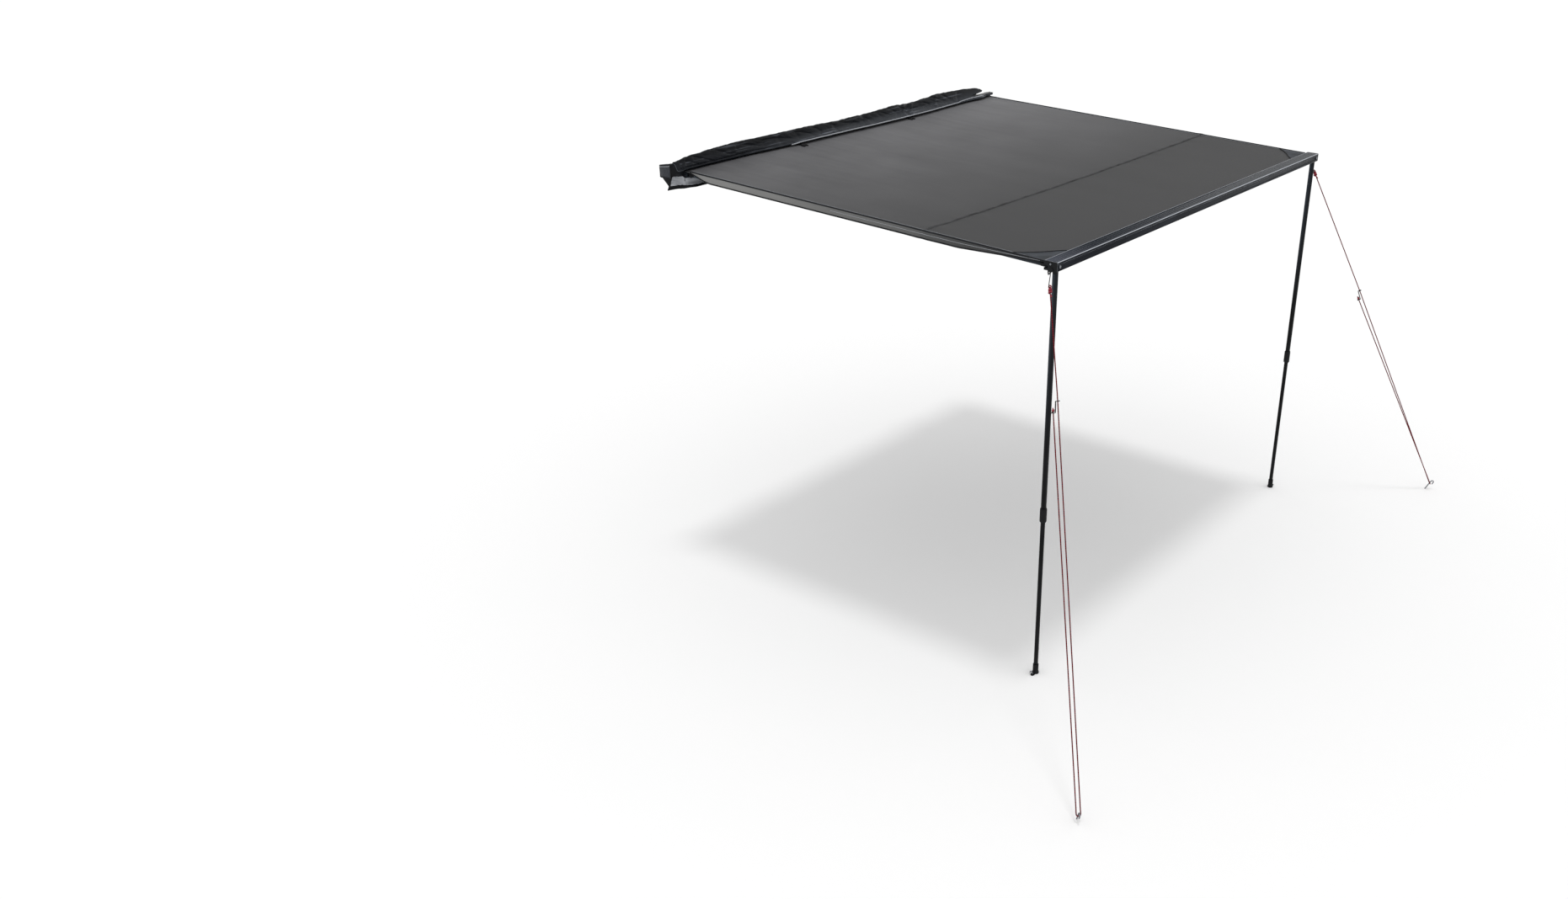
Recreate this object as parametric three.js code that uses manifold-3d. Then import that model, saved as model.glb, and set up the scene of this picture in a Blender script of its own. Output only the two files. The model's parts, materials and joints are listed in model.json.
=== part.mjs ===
// Roll-out side awning for a roof rack, shown open: millimetres, +Z up.
// X runs along the rails and -Y points away from the vehicle.
// The origin is the middle of the back rail's rear face.

import * as THREE from 'three';
import { mergeVertices } from 'three/addons/utils/BufferGeometryUtils.js';
import Module from 'manifold-3d';

const wasm = await Module();
wasm.setup();

// Driving dimensions: the open awning
const RAIL_LENGTH = 2500;          // both rails, end to end
const REACH = 2025;                // back rail's rear face to the front rail's rear face
const CANOPY_DROP = 73;            // fall from the back rail to the front rail
const MOUNT_HEIGHT = 1957;         // ground to the middle of the back rail
const FIT_GAP = 0.3;               // gap between parts that touch
const BOLT_CLEARANCE = 0.3;        // radial, between a bolt and its hole
const CUT_OVERRUN = 4;             // how far a cutting shape runs past its wall

// Driving dimensions: back rail section
const BACK_RAIL_DEPTH = 20;
const BACK_RAIL_HEIGHT = 76;
const BACK_RAIL_WALL = 2.5;
const BACK_RAIL_CORNER = 1.5;
const TRACK_SPACING = 38;          // between the centre lines of the two bolt tracks
const TRACK_MOUTH = 8.6;
const TRACK_HEAD = 14.6;
const TRACK_HEAD_DEPTH = 5.8;
const BEAD_GROOVE = 7;             // bore of a groove that holds a sewn-in bead
const BEAD_MOUTH = 3.2;
const BEAD_LIP = 1;                // wall left at a groove's mouth
const CANOPY_LINE = 17;            // canopy groove above the rail's middle
const BACK_CAP_THICKNESS = 4;
const BACK_CAP_PLUG = 12;

// Driving dimensions: mounting brackets
const BRACKET_SPACING = 1400;
const BRACKET_WIDTH = 60;
const BRACKET_HEIGHT = 70;
const BRACKET_ARM = 62;
const BRACKET_THICKNESS = 5;
const BRACKET_BEND = 6;            // outside radius of the bend, less the thickness
const BRACKET_SLOT_WIDTH = 9;
const BRACKET_SLOT_LENGTH = 30;
const BRACKET_SLOT_SPACING = 30;
const BRACKET_RIB_DEPTH = 1.8;     // rib that seats in the lower bolt track
const BRACKET_RIB_HEIGHT = 8;
const TRACK_BOLT_DIAMETER = 8;
const TRACK_BOLT_LENGTH = 17.5;
const TRACK_BOLT_HEAD = 13;
const TRACK_BOLT_HEAD_HEIGHT = 5;
const NUT_ACROSS_FLATS = 13;
const NUT_HEIGHT = 6.5;

// Driving dimensions: rafters
const RAFTER_INSET = 22;           // rafter centre line from the rail's end
const RAFTER_PIN_OFFSET = 18;      // pin centre in front of the back rail
const RAFTER_PIN_DIAMETER = 8;
const RAFTER_PIN_HEAD = 14;
const PIN_HEAD_HEIGHT = 2.2;
const KNUCKLE_HEIGHT = 20;
const KNUCKLE_RADIUS = 11;
const KNUCKLE_LENGTH = 30;         // pin to the start of the tube
const KNUCKLE_NECK = 21;
const CLEVIS_EAR = 3.6;
const CLEVIS_BASE_THICKNESS = 4;
const CLEVIS_BASE_LENGTH = 62;
const CLEVIS_BASE_CORNER = 3;
const RAFTER_OUTER_DIAMETER = 25;
const RAFTER_INNER_DIAMETER = 21;
const TUBE_WALL = 1.4;
const SPIGOT_LENGTH = 40;          // plug inside a tube's end
const RAFTER_OUTER_END = 1040;     // pin to the outer tube's open end
const RAFTER_OVERLAP = 100;        // inner tube left inside the outer one
const RAFTER_LOCK_DIAMETER = 29;
const RAFTER_LOCK_LENGTH = 62;
const LOCK_GRIP = 16;              // length of outer tube inside a lock collar
const LOCK_FLUTES = 8;
const LOCK_FLUTE_SIDES = 6;
const LOCK_FLUTE_RADIUS = 2.4;
const LOCK_FLUTE_DEPTH = 0.9;
const LOCK_TAPER = 5;              // length of the taper at a collar's ends
const LOCK_TAPER_DEPTH = 1.6;
const TIP_LENGTH = 26;
const TIP_STANDOFF = 1.2;          // tip's shoulder to the front rail
const TIP_DIAMETER = 23;
const TONGUE_LENGTH = 18;
const TONGUE_WIDTH = 20;
const TONGUE_THICKNESS = 8.4;

// Driving dimensions: front rail section
const FRONT_RAIL_HEIGHT = 38;
const FRONT_RAIL_WALL = 2.5;
const REAR_CHANNEL_DEPTH = 20;     // inside depth of the channel that takes the rafters
const REAR_CHANNEL_TOP = 25;
const REAR_SLOT_HEIGHT = 10;
const REAR_SLOT_LEVEL = 15;        // slot centre above the rail's underside
const LEG_CHANNEL_WIDTH = 33;
const LEG_CHANNEL_HEIGHT = 35.5;
const FRONT_BEAD_LEVEL = 31.5;     // canopy groove above the rail's underside
const FRONT_RAIL_CORNER = 4;
const RAIL_RIBS = 3;               // fine grooves along the top face
const RAIL_RIB_DEPTH = 0.7;
const RAIL_RIB_WIDTH = 1.8;
const FRONT_LINE_LEVEL = 27;       // groove along the front face
const FRONT_CAP_THICKNESS = 4;
const FRONT_CAP_PLUG = 10;
const END_DISC_DIAMETER = 20;
const END_DISC_THICKNESS = 4;
const END_DISC_OFFSET = 34;        // disc centre from the rail's rear face
const END_DISC_LEVEL = 5;          // disc centre above the rail's underside
const EYE_TAB_WIDTH = 14;
const EYE_DIAMETER = 8.6;
const EYE_DROP = 9;                // eye centre below the rail's underside

// Driving dimensions: legs
const LEG_INSET = 17;              // leg centre line from the rail's end
const LEG_PIVOT_LEVEL = 17.5;      // pivot above the rail's underside
const LEG_OUTER_DIAMETER = 24;
const LEG_INNER_DIAMETER = 20;
const LEG_KNUCKLE_WIDTH = 32.4;
const LEG_KNUCKLE_RADIUS = 13;
const LEG_TUBE_START = 30;         // pivot to the start of the tube
const LEG_OUTER_END = 1074;        // pivot to the outer tube's open end
const LEG_OVERLAP = 150;
const LEG_LOCK_DIAMETER = 31;
const LEG_LOCK_LENGTH = 64;
const LEG_BOLT_DIAMETER = 8;
const LEG_BOLT_HEAD = 13;
const LEG_BOLT_HEAD_HEIGHT = 3;
const FOOT_HEIGHT = 46;
const FOOT_DIAMETER = 31;
const FOOT_NECK_DIAMETER = 26;
const FOOT_FLANGE = 6;
const FOOT_SOCKET = 34;            // depth of the bore that takes the tube
const FOOT_SPIKE_LENGTH = 12;
const FOOT_SPIKE_DIAMETER = 8;
const FOOT_EAR_REACH = 26;         // leg centre line to the peg hole
const FOOT_EAR_WIDTH = 16;
const LEG_PEG_DIAMETER = 5;
const LEG_PEG_DEPTH = 150;         // below the ground
const LEG_PEG_STANDOFF = 5;        // straight shank between the ear and the hook
const LEG_PEG_HOOK = 6;            // radius of the hook's bend
const PEG_POINT = 14;              // length of a peg's point

// Driving dimensions: canopy and bag
const CANOPY_THICKNESS = 2;
const CANOPY_INSET = 3.5;          // canopy's sides from the rail's ends
const CANOPY_SAG = 12;
const CANOPY_BEAD = 6.2;
const SIDE_BAND_DEPTH = 34;
const SIDE_BAND_TAPER = 170;       // length over which a side band runs out
const CANOPY_ROWS = 14;
const CANOPY_COLUMNS = 10;
const BAG_OVERREACH = 50;          // bag past each end of the rail
const BAG_WALL = 3;
const BAG_TOP = 96;                // above the back rail's middle
const BAG_OVERHANG = 52;           // in front of the back rail's rear face
const BAG_LIP = 27;                // free edge of the folded flap above the rail's middle
const BAG_TRAY_REACH = 78;
const BAG_TRAY_LEVEL = 52;         // lower flap below the rail's middle
const BAG_END_BACK = 40;           // how far an end panel stands behind the rail
const BAG_END_INSET = 1;           // bead and neck stop short of the rail's end
const BAG_PIPING = 6;
const STRAP_WIDTH = 25;
const STRAP_THICKNESS = 1.5;
const STRAP_REACH = 50;            // from the back rail's front face
const STRAP_RISE = 14;             // above the canopy groove, up the rail's face
const STRAP_LEFT_X = -478;
const STRAP_RIGHT_X = 407;
const BUCKLE_LENGTH = 26;
const BUCKLE_WIDTH = 31;
const BUCKLE_THICKNESS = 6;
const BUCKLE_PRONG = 6;

// Driving dimensions: guy ropes
const ROPE_DIAMETER = 5;
const ROPE_LOOP_RADIUS = 8.5;      // the rope's turn round its peg
const HOOK_WIRE = 3.6;
const HOOK_BEND = 7;               // radius of a bend, to the wire's centre line
const HOOK_SHANK = 43.6;           // between the centres of the two bends
const HOOK_SEAT = -0.3;            // wire's centre below the eye's centre
const KNOT_LOOP = 5.5;
const KNOT_LOOP_SEAT = 0.7;        // loop's centre below the wire it hangs on
const KNOT_DIAMETER = 15;
const KNOT_LENGTH = 20;
const KNOT_TAIL = 26;
const RUNNER_LENGTH = 46;
const RUNNER_WIDTH = 12;
const RUNNER_THICKNESS = 3;
const RUNNER_UPPER = 6;            // upper hole, to the side of the rope's line
const RUNNER_LOWER = -14;          // lower hole, to the side of the rope's line
const RUNNER_TAB = 8;              // from a hole's centre to its tab's end
const RUNNER_HOLE = 6.4;
const STOPPER_DIAMETER = 12;
const GUY_PEG_DIAMETER = 6;
const GUY_PEG_LENGTH = 200;
const GUY_PEG_HOOK = 8;            // radius of the hook's bend
const GUY_PEG_LEAN = 60;           // degrees between the peg and the ground
const GUY_PEG_NECK = 12;           // from the rope up to the hook's bend

// Where each guy rope's turn lies on its peg, and how its runner hangs:
// its distance from the eye, and its turn about the rope in degrees
const GUYS = {
  left: { peg: [-2007, -2768, -1927], runner: 505, roll: 0 },
  right: { peg: [1774, -2799, -1927], runner: 772, roll: 90 },
};

// Routes of the two guy ropes: down from the knot under the hook, through the
// runner's upper hole, round the peg, and back up to the runner's lower hole
const ROPE_ROUTES = {
  left: [
    [-1281.1, -2077.7, -167.7], [-1286.5, -2082.8, -180.7], [-1331.4, -2128.3, -292.8],
    [-1376.4, -2173.6, -405], [-1418.3, -2216.2, -509.8], [-1426.8, -2224.5, -530.6],
    [-1431.1, -2228.6, -541.1], [-1439.7, -2236.8, -561.9], [-1621.4, -2410.7, -1003.8],
    [-1803.1, -2584.7, -1445.7], [-1990.4, -2763.9, -1900.9], [-1998.1, -2771.3, -1919.6],
    [-1999.7, -2771.9, -1922.4], [-2002, -2771.5, -1924.8], [-2004.5, -2770.1, -1926.4],
    [-2007, -2768, -1927], [-2009, -2765.4, -1926.4], [-2010.2, -2762.8, -1924.8],
    [-2010.5, -2760.5, -1922.4], [-2009.8, -2758.9, -1919.6], [-2002.1, -2751.6, -1900.9],
    [-1821.2, -2577, -1459.3], [-1645.6, -2407.5, -1030.6], [-1470, -2238, -601.9],
    [-1461.3, -2229.8, -581], [-1457, -2225.7, -570.6],
  ],
  right: [
    [1272.8, -2079.8, -169.7], [1276.6, -2085.3, -183.2], [1334.4, -2168.3, -381.3],
    [1392.2, -2251.2, -579.6], [1444.4, -2326, -758.4], [1450.6, -2334.9, -779.8],
    [1453.7, -2339.3, -790.5], [1459.8, -2348.1, -812], [1563.2, -2491.7, -1171.1],
    [1666.7, -2635.2, -1530.2], [1773.3, -2783.2, -1900.2], [1778.8, -2791, -1919.4],
    [1779.1, -2792.6, -1922.3], [1778.3, -2794.7, -1924.8], [1776.5, -2796.9, -1926.4],
    [1774, -2799, -1927], [1771.2, -2800.6, -1926.4], [1768.4, -2801.5, -1924.8],
    [1766.2, -2801.6, -1922.3], [1764.9, -2800.7, -1919.4], [1759.4, -2792.9, -1900.2],
    [1658, -2642.4, -1547.2], [1559.7, -2496.3, -1204.6], [1461.3, -2350.3, -862.1],
    [1455.2, -2341.5, -840.6], [1452.1, -2337.1, -829.8],
  ],
};

// Smoothness of round forms
const ROUND_SIDES = 16;
const WIRE_SIDES = 8;
const ARC_STEPS = 2;               // half the sides of one drawn arc
const BEND_STEPS = 6;
const RAIL_FACE_STEPS = 3;          // lengths of the back rail's faces: the middle one lies free
const FLAP_STEPS = 20;
const TRAY_STEPS = 8;

// Values worked out from the driving dimensions
const HALF_RAIL = RAIL_LENGTH / 2;
const HALF_BACK = BACK_RAIL_HEIGHT / 2;
const BEAD_DEPTH = BEAD_GROOVE / 2 + BEAD_LIP;
const FRONT_RAIL_WIDTH = FRONT_RAIL_WALL * 3 + REAR_CHANNEL_DEPTH + LEG_CHANNEL_WIDTH;
const LEG_CHANNEL_START = FRONT_RAIL_WALL * 2 + REAR_CHANNEL_DEPTH;
const CANOPY_HALF_WIDTH = HALF_RAIL - CANOPY_INSET;
const BAG_LENGTH = RAIL_LENGTH + BAG_OVERREACH * 2;
const RAFTER_X = HALF_RAIL - RAFTER_INSET;
const RAFTER_PIN_Y = -(BACK_RAIL_DEPTH + RAFTER_PIN_OFFSET);
const RAFTER_RUN = REACH + RAFTER_PIN_Y;
const RAFTER_PITCH = Math.atan2(CANOPY_DROP, RAFTER_RUN);
const RAFTER_SPAN = Math.hypot(RAFTER_RUN, CANOPY_DROP);
const FRONT_RAIL_Z = -CANOPY_DROP - REAR_SLOT_LEVEL;
const LEG_X = HALF_RAIL - LEG_INSET;
const LEG_Y = -REACH - LEG_CHANNEL_START - LEG_CHANNEL_WIDTH / 2;
const LEG_PIVOT_Z = FRONT_RAIL_Z + LEG_PIVOT_LEVEL;
const LEG_LENGTH = LEG_PIVOT_Z + MOUNT_HEIGHT;
const EYE_OFFSET = LEG_CHANNEL_START;
const UP = new THREE.Vector3(0, 0, 1);

// Finishes
const anodised = { color: 0x2e3238, roughness: 0.38, metalness: 0.85 };
const painted = { color: 0x1c1e20, roughness: 0.45, metalness: 0.6 };
const moulded = { color: 0x191a1c, roughness: 0.55, metalness: 0 };
const steel = { color: 0x8e9196, roughness: 0.35, metalness: 1 };
const blackSteel = { color: 0x202124, roughness: 0.5, metalness: 0.8 };
const canvas = { color: 0x5a5a5a, roughness: 0.9, metalness: 0 };
const vinyl = { color: 0x1d2025, roughness: 0.35, metalness: 0 };
const webbing = { color: 0x15161a, roughness: 0.85, metalness: 0 };
const cordage = { color: 0x8e3b46, roughness: 0.8, metalness: 0 };

// Solids: a welded, outward-facing mesh becomes a solid that can be joined and cut

function solidOf(geometry) {
  const bare = geometry.clone();
  bare.deleteAttribute('normal');
  bare.deleteAttribute('uv');
  const welded = mergeVertices(bare);
  const points = Float32Array.from(welded.attributes.position.array);
  const corners = Uint32Array.from(welded.index.array);
  if (signedVolume(points, corners) < 0) {
    for (let i = 0; i < corners.length; i += 3) {
      [corners[i], corners[i + 1]] = [corners[i + 1], corners[i]];
    }
  }
  const mesh = new wasm.Mesh({ numProp: 3, vertProperties: points, triVerts: corners });
  return new wasm.Manifold(mesh);
}

function signedVolume(points, corners) {
  const [a, b, c] = [new THREE.Vector3(), new THREE.Vector3(), new THREE.Vector3()];
  let volume = 0;
  for (let i = 0; i < corners.length; i += 3) {
    a.fromArray(points, corners[i] * 3);
    b.fromArray(points, corners[i + 1] * 3);
    c.fromArray(points, corners[i + 2] * 3);
    volume += a.dot(b.cross(c));
  }
  return volume;
}

function joined(...solids) {
  return solids.reduce((whole, solid) => whole.add(solid));
}

function geometryOf(solid) {
  const mesh = solid.getMesh();
  const geometry = new THREE.BufferGeometry();
  geometry.setAttribute('position', new THREE.BufferAttribute(mesh.vertProperties, 3));
  geometry.setIndex(new THREE.BufferAttribute(mesh.triVerts, 1));
  geometry.computeVertexNormals();
  return geometry;
}

function piece(name, solid, finish) {
  const mesh = new THREE.Mesh(geometryOf(solid), new THREE.MeshStandardMaterial(finish));
  mesh.name = name;
  return mesh;
}

// Sweeps: a section drawn in (y, z) along X, in (x, z) along Y, or in (x, y) along Z

function swept(shape, length, xAxis, yAxis, zAxis, steps = 1) {
  const settings = { depth: length, steps, bevelEnabled: false, curveSegments: ARC_STEPS };
  const geometry = new THREE.ExtrudeGeometry(shape, settings);
  geometry.translate(0, 0, -length / 2);
  geometry.applyMatrix4(new THREE.Matrix4().makeBasis(xAxis, yAxis, zAxis));
  return solidOf(geometry);
}

function alongX(shape, length, steps = 1) {
  return swept(
    shape, length,
    new THREE.Vector3(0, 1, 0), new THREE.Vector3(0, 0, 1), new THREE.Vector3(1, 0, 0),
    steps,
  );
}

function alongY(shape, length) {
  return swept(
    shape, length,
    new THREE.Vector3(1, 0, 0), new THREE.Vector3(0, 0, 1), new THREE.Vector3(0, -1, 0),
  );
}

function alongZ(shape, length) {
  return swept(
    shape, length,
    new THREE.Vector3(1, 0, 0), new THREE.Vector3(0, 1, 0), new THREE.Vector3(0, 0, 1),
  );
}

function outline(points) {
  return new THREE.Shape(points.map(([x, y]) => new THREE.Vector2(x, y)));
}

function rounded(width, height, radius) {
  const shape = new THREE.Shape();
  const x = width / 2 - radius;
  const y = height / 2 - radius;
  shape.absarc(x, y, radius, 0, Math.PI / 2);
  shape.absarc(-x, y, radius, Math.PI / 2, Math.PI);
  shape.absarc(-x, -y, radius, Math.PI, Math.PI * 1.5);
  shape.absarc(x, -y, radius, Math.PI * 1.5, Math.PI * 2);
  return shape;
}

function disc(diameter, sides = ROUND_SIDES) {
  const points = [];
  for (let i = 0; i < sides; i += 1) {
    const turn = (i / sides) * Math.PI * 2;
    points.push([Math.cos(turn) * diameter / 2, Math.sin(turn) * diameter / 2]);
  }
  return outline(points);
}

// A strip of even thickness that follows a line of points
function ribbon(points, thickness) {
  const half = thickness / 2;
  const sides = [[], []];
  points.forEach((point, i) => {
    const before = points[Math.max(i - 1, 0)];
    const after = points[Math.min(i + 1, points.length - 1)];
    const along = new THREE.Vector2(after.x - before.x, after.y - before.y).normalize();
    sides[0].push([point.x - along.y * half, point.y + along.x * half]);
    sides[1].unshift([point.x + along.y * half, point.y - along.x * half]);
  });
  return outline([...sides[0], ...sides[1]]);
}

function smoothLine(points, steps) {
  const corners = points.map(([x, y]) => new THREE.Vector2(x, y));
  return new THREE.SplineCurve(corners).getPoints(steps);
}

// A solid of revolution about Z, from [radius, height] points that close on themselves
function turned(profile, sides = ROUND_SIDES) {
  const points = [...profile, profile[0]].map(([r, z]) => new THREE.Vector2(r, z));
  const geometry = new THREE.LatheGeometry(points, sides);
  geometry.rotateX(Math.PI / 2);
  return solidOf(geometry);
}

// A hollow tube that runs down from z = 0
function tubeDown(diameter, length) {
  const outer = diameter / 2;
  const inner = outer - TUBE_WALL;
  return turned([[inner, -length], [outer, -length], [outer, 0], [inner, 0]]);
}

// A line of points as a curve whose steps are the points themselves
class PointLine extends THREE.Curve {
  constructor(points) {
    super();
    this.points = points;
  }

  getPoint(t, target = new THREE.Vector3()) {
    const last = this.points.length - 1;
    const place = Math.min(Math.max(t, 0), 1) * last;
    const index = Math.min(Math.floor(place), last - 1);
    return target.copy(this.points[index]).lerp(this.points[index + 1], place - index);
  }

  getPointAt(u, target) {
    return this.getPoint(u, target);
  }

  getTangent(t, target = new THREE.Vector3()) {
    const half = 1 / (this.points.length - 1) / 2;
    return target.copy(this.getPoint(t + half)).sub(this.getPoint(t - half)).normalize();
  }

  getTangentAt(u, target) {
    return this.getTangent(u, target);
  }
}

function wire(points, diameter, sides = WIRE_SIDES) {
  const settings = {
    steps: points.length - 1,
    extrudePath: new PointLine(points),
    bevelEnabled: false,
  };
  return solidOf(new THREE.ExtrudeGeometry(disc(diameter, sides), settings));
}

// Points of an arc in the plane of two directions, from one angle to another
function arcPoints(centre, across, up, radius, from, to, steps = BEND_STEPS) {
  return Array.from({ length: steps + 1 }, (unused, i) => {
    const angle = from + (to - from) * (i / steps);
    return centre.clone()
      .addScaledVector(across, Math.cos(angle) * radius)
      .addScaledVector(up, Math.sin(angle) * radius);
  });
}

// Back rail: an extrusion with two bolt tracks behind, a bead groove in front for
// the canopy, and one above and one below for the bag

function addTrack(path, level) {
  const back = -BACK_RAIL_WALL;
  const deep = back - TRACK_HEAD_DEPTH;
  path.lineTo(0, level - TRACK_MOUTH / 2);
  path.lineTo(back, level - TRACK_MOUTH / 2);
  path.lineTo(back, level - TRACK_HEAD / 2);
  path.lineTo(deep, level - TRACK_HEAD / 2);
  path.lineTo(deep, level + TRACK_HEAD / 2);
  path.lineTo(back, level + TRACK_HEAD / 2);
  path.lineTo(back, level + TRACK_MOUTH / 2);
  path.lineTo(0, level + TRACK_MOUTH / 2);
}

function addBeadGroove(path, centre, facing) {
  const half = Math.asin(BEAD_MOUTH / BEAD_GROOVE);
  const cos = Math.cos(facing);
  const sin = Math.sin(facing);
  const mouth = [-BEAD_MOUTH / 2, BEAD_MOUTH / 2].map((side) => [
    centre[0] + cos * BEAD_DEPTH - sin * side,
    centre[1] + sin * BEAD_DEPTH + cos * side,
  ]);
  path.lineTo(...mouth[0]);
  path.absarc(...centre, BEAD_GROOVE / 2, facing - half, facing - Math.PI, true);
  path.absarc(...centre, BEAD_GROOVE / 2, facing + Math.PI, facing + half, true);
  path.lineTo(...mouth[1]);
}

function backRailSection() {
  const front = -BACK_RAIL_DEPTH;
  const grooveY = front + BACK_RAIL_WALL + BEAD_GROOVE / 2;
  const edge = BACK_RAIL_CORNER;
  const shape = new THREE.Shape();
  shape.moveTo(0, edge - HALF_BACK);
  addTrack(shape, -TRACK_SPACING / 2);
  addTrack(shape, TRACK_SPACING / 2);
  shape.lineTo(0, HALF_BACK - edge);
  shape.lineTo(-edge, HALF_BACK);
  addBeadGroove(shape, [grooveY, HALF_BACK - BEAD_DEPTH], Math.PI / 2);
  shape.lineTo(front + edge, HALF_BACK);
  shape.lineTo(front, HALF_BACK - edge);
  addBeadGroove(shape, [front + BEAD_DEPTH, CANOPY_LINE], Math.PI);
  shape.lineTo(front, edge - HALF_BACK);
  shape.lineTo(front + edge, -HALF_BACK);
  addBeadGroove(shape, [grooveY, BEAD_DEPTH - HALF_BACK], -Math.PI / 2);
  shape.lineTo(-edge, -HALF_BACK);
  shape.closePath();
  shape.holes.push(outline(backHollow(0)));
  return shape;
}

// Corners of the hollow behind the rail's front face, drawn in by a gap
function backHollow(gap) {
  const front = -BACK_RAIL_DEPTH + BACK_RAIL_WALL + gap;
  const back = -BACK_RAIL_WALL * 2 - TRACK_HEAD_DEPTH - gap;
  const low = BEAD_DEPTH + BEAD_GROOVE / 2 + BACK_RAIL_WALL - HALF_BACK + gap;
  const high = CANOPY_LINE - BEAD_GROOVE / 2 - BACK_RAIL_WALL - gap;
  return [[front, low], [back, low], [back, high], [front, high]];
}

function backCap(side) {
  const centre = [0, -BACK_RAIL_DEPTH / 2, 0];
  const plate = alongX(rounded(BACK_RAIL_DEPTH, BACK_RAIL_HEIGHT, BACK_CAP_THICKNESS), BACK_CAP_THICKNESS)
    .translate(centre);
  const plugLength = BACK_CAP_PLUG + FIT_GAP;
  const plug = alongX(outline(backHollow(FIT_GAP)), plugLength)
    .translate([-side * (plugLength + BACK_CAP_THICKNESS) / 2, 0, 0]);
  return plate.add(plug);
}

function backRailGroup() {
  const group = new THREE.Group();
  const rail = alongX(backRailSection(), RAIL_LENGTH, RAIL_FACE_STEPS);
  group.add(piece('back_rail', rail, anodised));
  for (const [name, side] of [['left', -1], ['right', 1]]) {
    const cap = piece(`back_rail_cap_${name}`, backCap(side), moulded);
    cap.position.x = side * (HALF_RAIL + FIT_GAP + BACK_CAP_THICKNESS / 2);
    group.add(cap);
  }
  return group;
}

// Mounting bracket: a bent plate with a rib in the lower track and two slots in its arm

function bracketSolid() {
  const half = BRACKET_HEIGHT / 2;
  const inner = BRACKET_BEND;
  const outer = BRACKET_BEND + BRACKET_THICKNESS;
  const section = new THREE.Shape();
  section.moveTo(0, half);
  section.absarc(outer, outer - half, outer, Math.PI, Math.PI * 1.5);
  section.lineTo(BRACKET_ARM, -half);
  section.lineTo(BRACKET_ARM, BRACKET_THICKNESS - half);
  section.absarc(outer, outer - half, inner, Math.PI * 1.5, Math.PI, true);
  section.lineTo(BRACKET_THICKNESS, half);
  section.closePath();
  const plate = alongX(section, BRACKET_WIDTH);
  const ribDepth = BRACKET_RIB_DEPTH + FIT_GAP + BRACKET_THICKNESS / 2;
  const ribShape = rounded(ribDepth, BRACKET_RIB_HEIGHT, BRACKET_RIB_DEPTH / 4);
  const rib = alongX(ribShape, BRACKET_WIDTH)
    .translate([0, BRACKET_THICKNESS / 2 - ribDepth / 2, -TRACK_SPACING / 2]);
  const hole = alongY(disc(TRACK_BOLT_DIAMETER + BOLT_CLEARANCE * 2), BRACKET_THICKNESS + CUT_OVERRUN)
    .translate([0, BRACKET_THICKNESS / 2, TRACK_SPACING / 2]);
  const slotShape = rounded(BRACKET_SLOT_WIDTH, BRACKET_SLOT_LENGTH, BRACKET_SLOT_WIDTH / 2);
  const slot = alongZ(slotShape, BRACKET_THICKNESS + CUT_OVERRUN);
  const slotY = (outer + BRACKET_ARM) / 2;
  const slotZ = BRACKET_THICKNESS / 2 - half;
  return [-1, 1].reduce(
    (body, side) => body.subtract(slot.translate([side * BRACKET_SLOT_SPACING / 2, slotY, slotZ])),
    plate.add(rib).subtract(hole),
  );
}

function trackBoltSolid() {
  const head = alongY(rounded(TRACK_BOLT_HEAD, TRACK_BOLT_HEAD, BACK_RAIL_CORNER), TRACK_BOLT_HEAD_HEIGHT)
    .translate([0, -TRACK_BOLT_HEAD_HEIGHT / 2, 0]);
  const shank = alongY(disc(TRACK_BOLT_DIAMETER), TRACK_BOLT_LENGTH)
    .translate([0, TRACK_BOLT_LENGTH / 2 - BOLT_CLEARANCE, 0]);
  return head.add(shank);
}

function nutSolid() {
  const nut = alongY(disc(NUT_ACROSS_FLATS / Math.cos(Math.PI / 6), 6), NUT_HEIGHT);
  const bore = disc(TRACK_BOLT_DIAMETER + BOLT_CLEARANCE * 2);
  return nut.subtract(alongY(bore, NUT_HEIGHT + CUT_OVERRUN));
}

function bracketGroup(name, side) {
  const group = new THREE.Group();
  group.position.x = side * BRACKET_SPACING / 2;
  const bracket = piece(`mount_bracket_${name}`, bracketSolid(), painted);
  bracket.position.y = FIT_GAP;
  const bolt = piece(`bracket_bolt_${name}`, trackBoltSolid(), steel);
  bolt.position.set(0, -BACK_RAIL_WALL - FIT_GAP, TRACK_SPACING / 2);
  const nut = piece(`bracket_nut_${name}`, nutSolid(), steel);
  nut.position.set(0, FIT_GAP * 2 + BRACKET_THICKNESS + NUT_HEIGHT / 2, TRACK_SPACING / 2);
  group.add(bracket, bolt, nut);
  return group;
}

// Rafters: each swings on a pin at the back rail, and its tip slides in the front rail.
// They are built along -Y from the pin, in a frame that is pitched to the canopy's fall.

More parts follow.
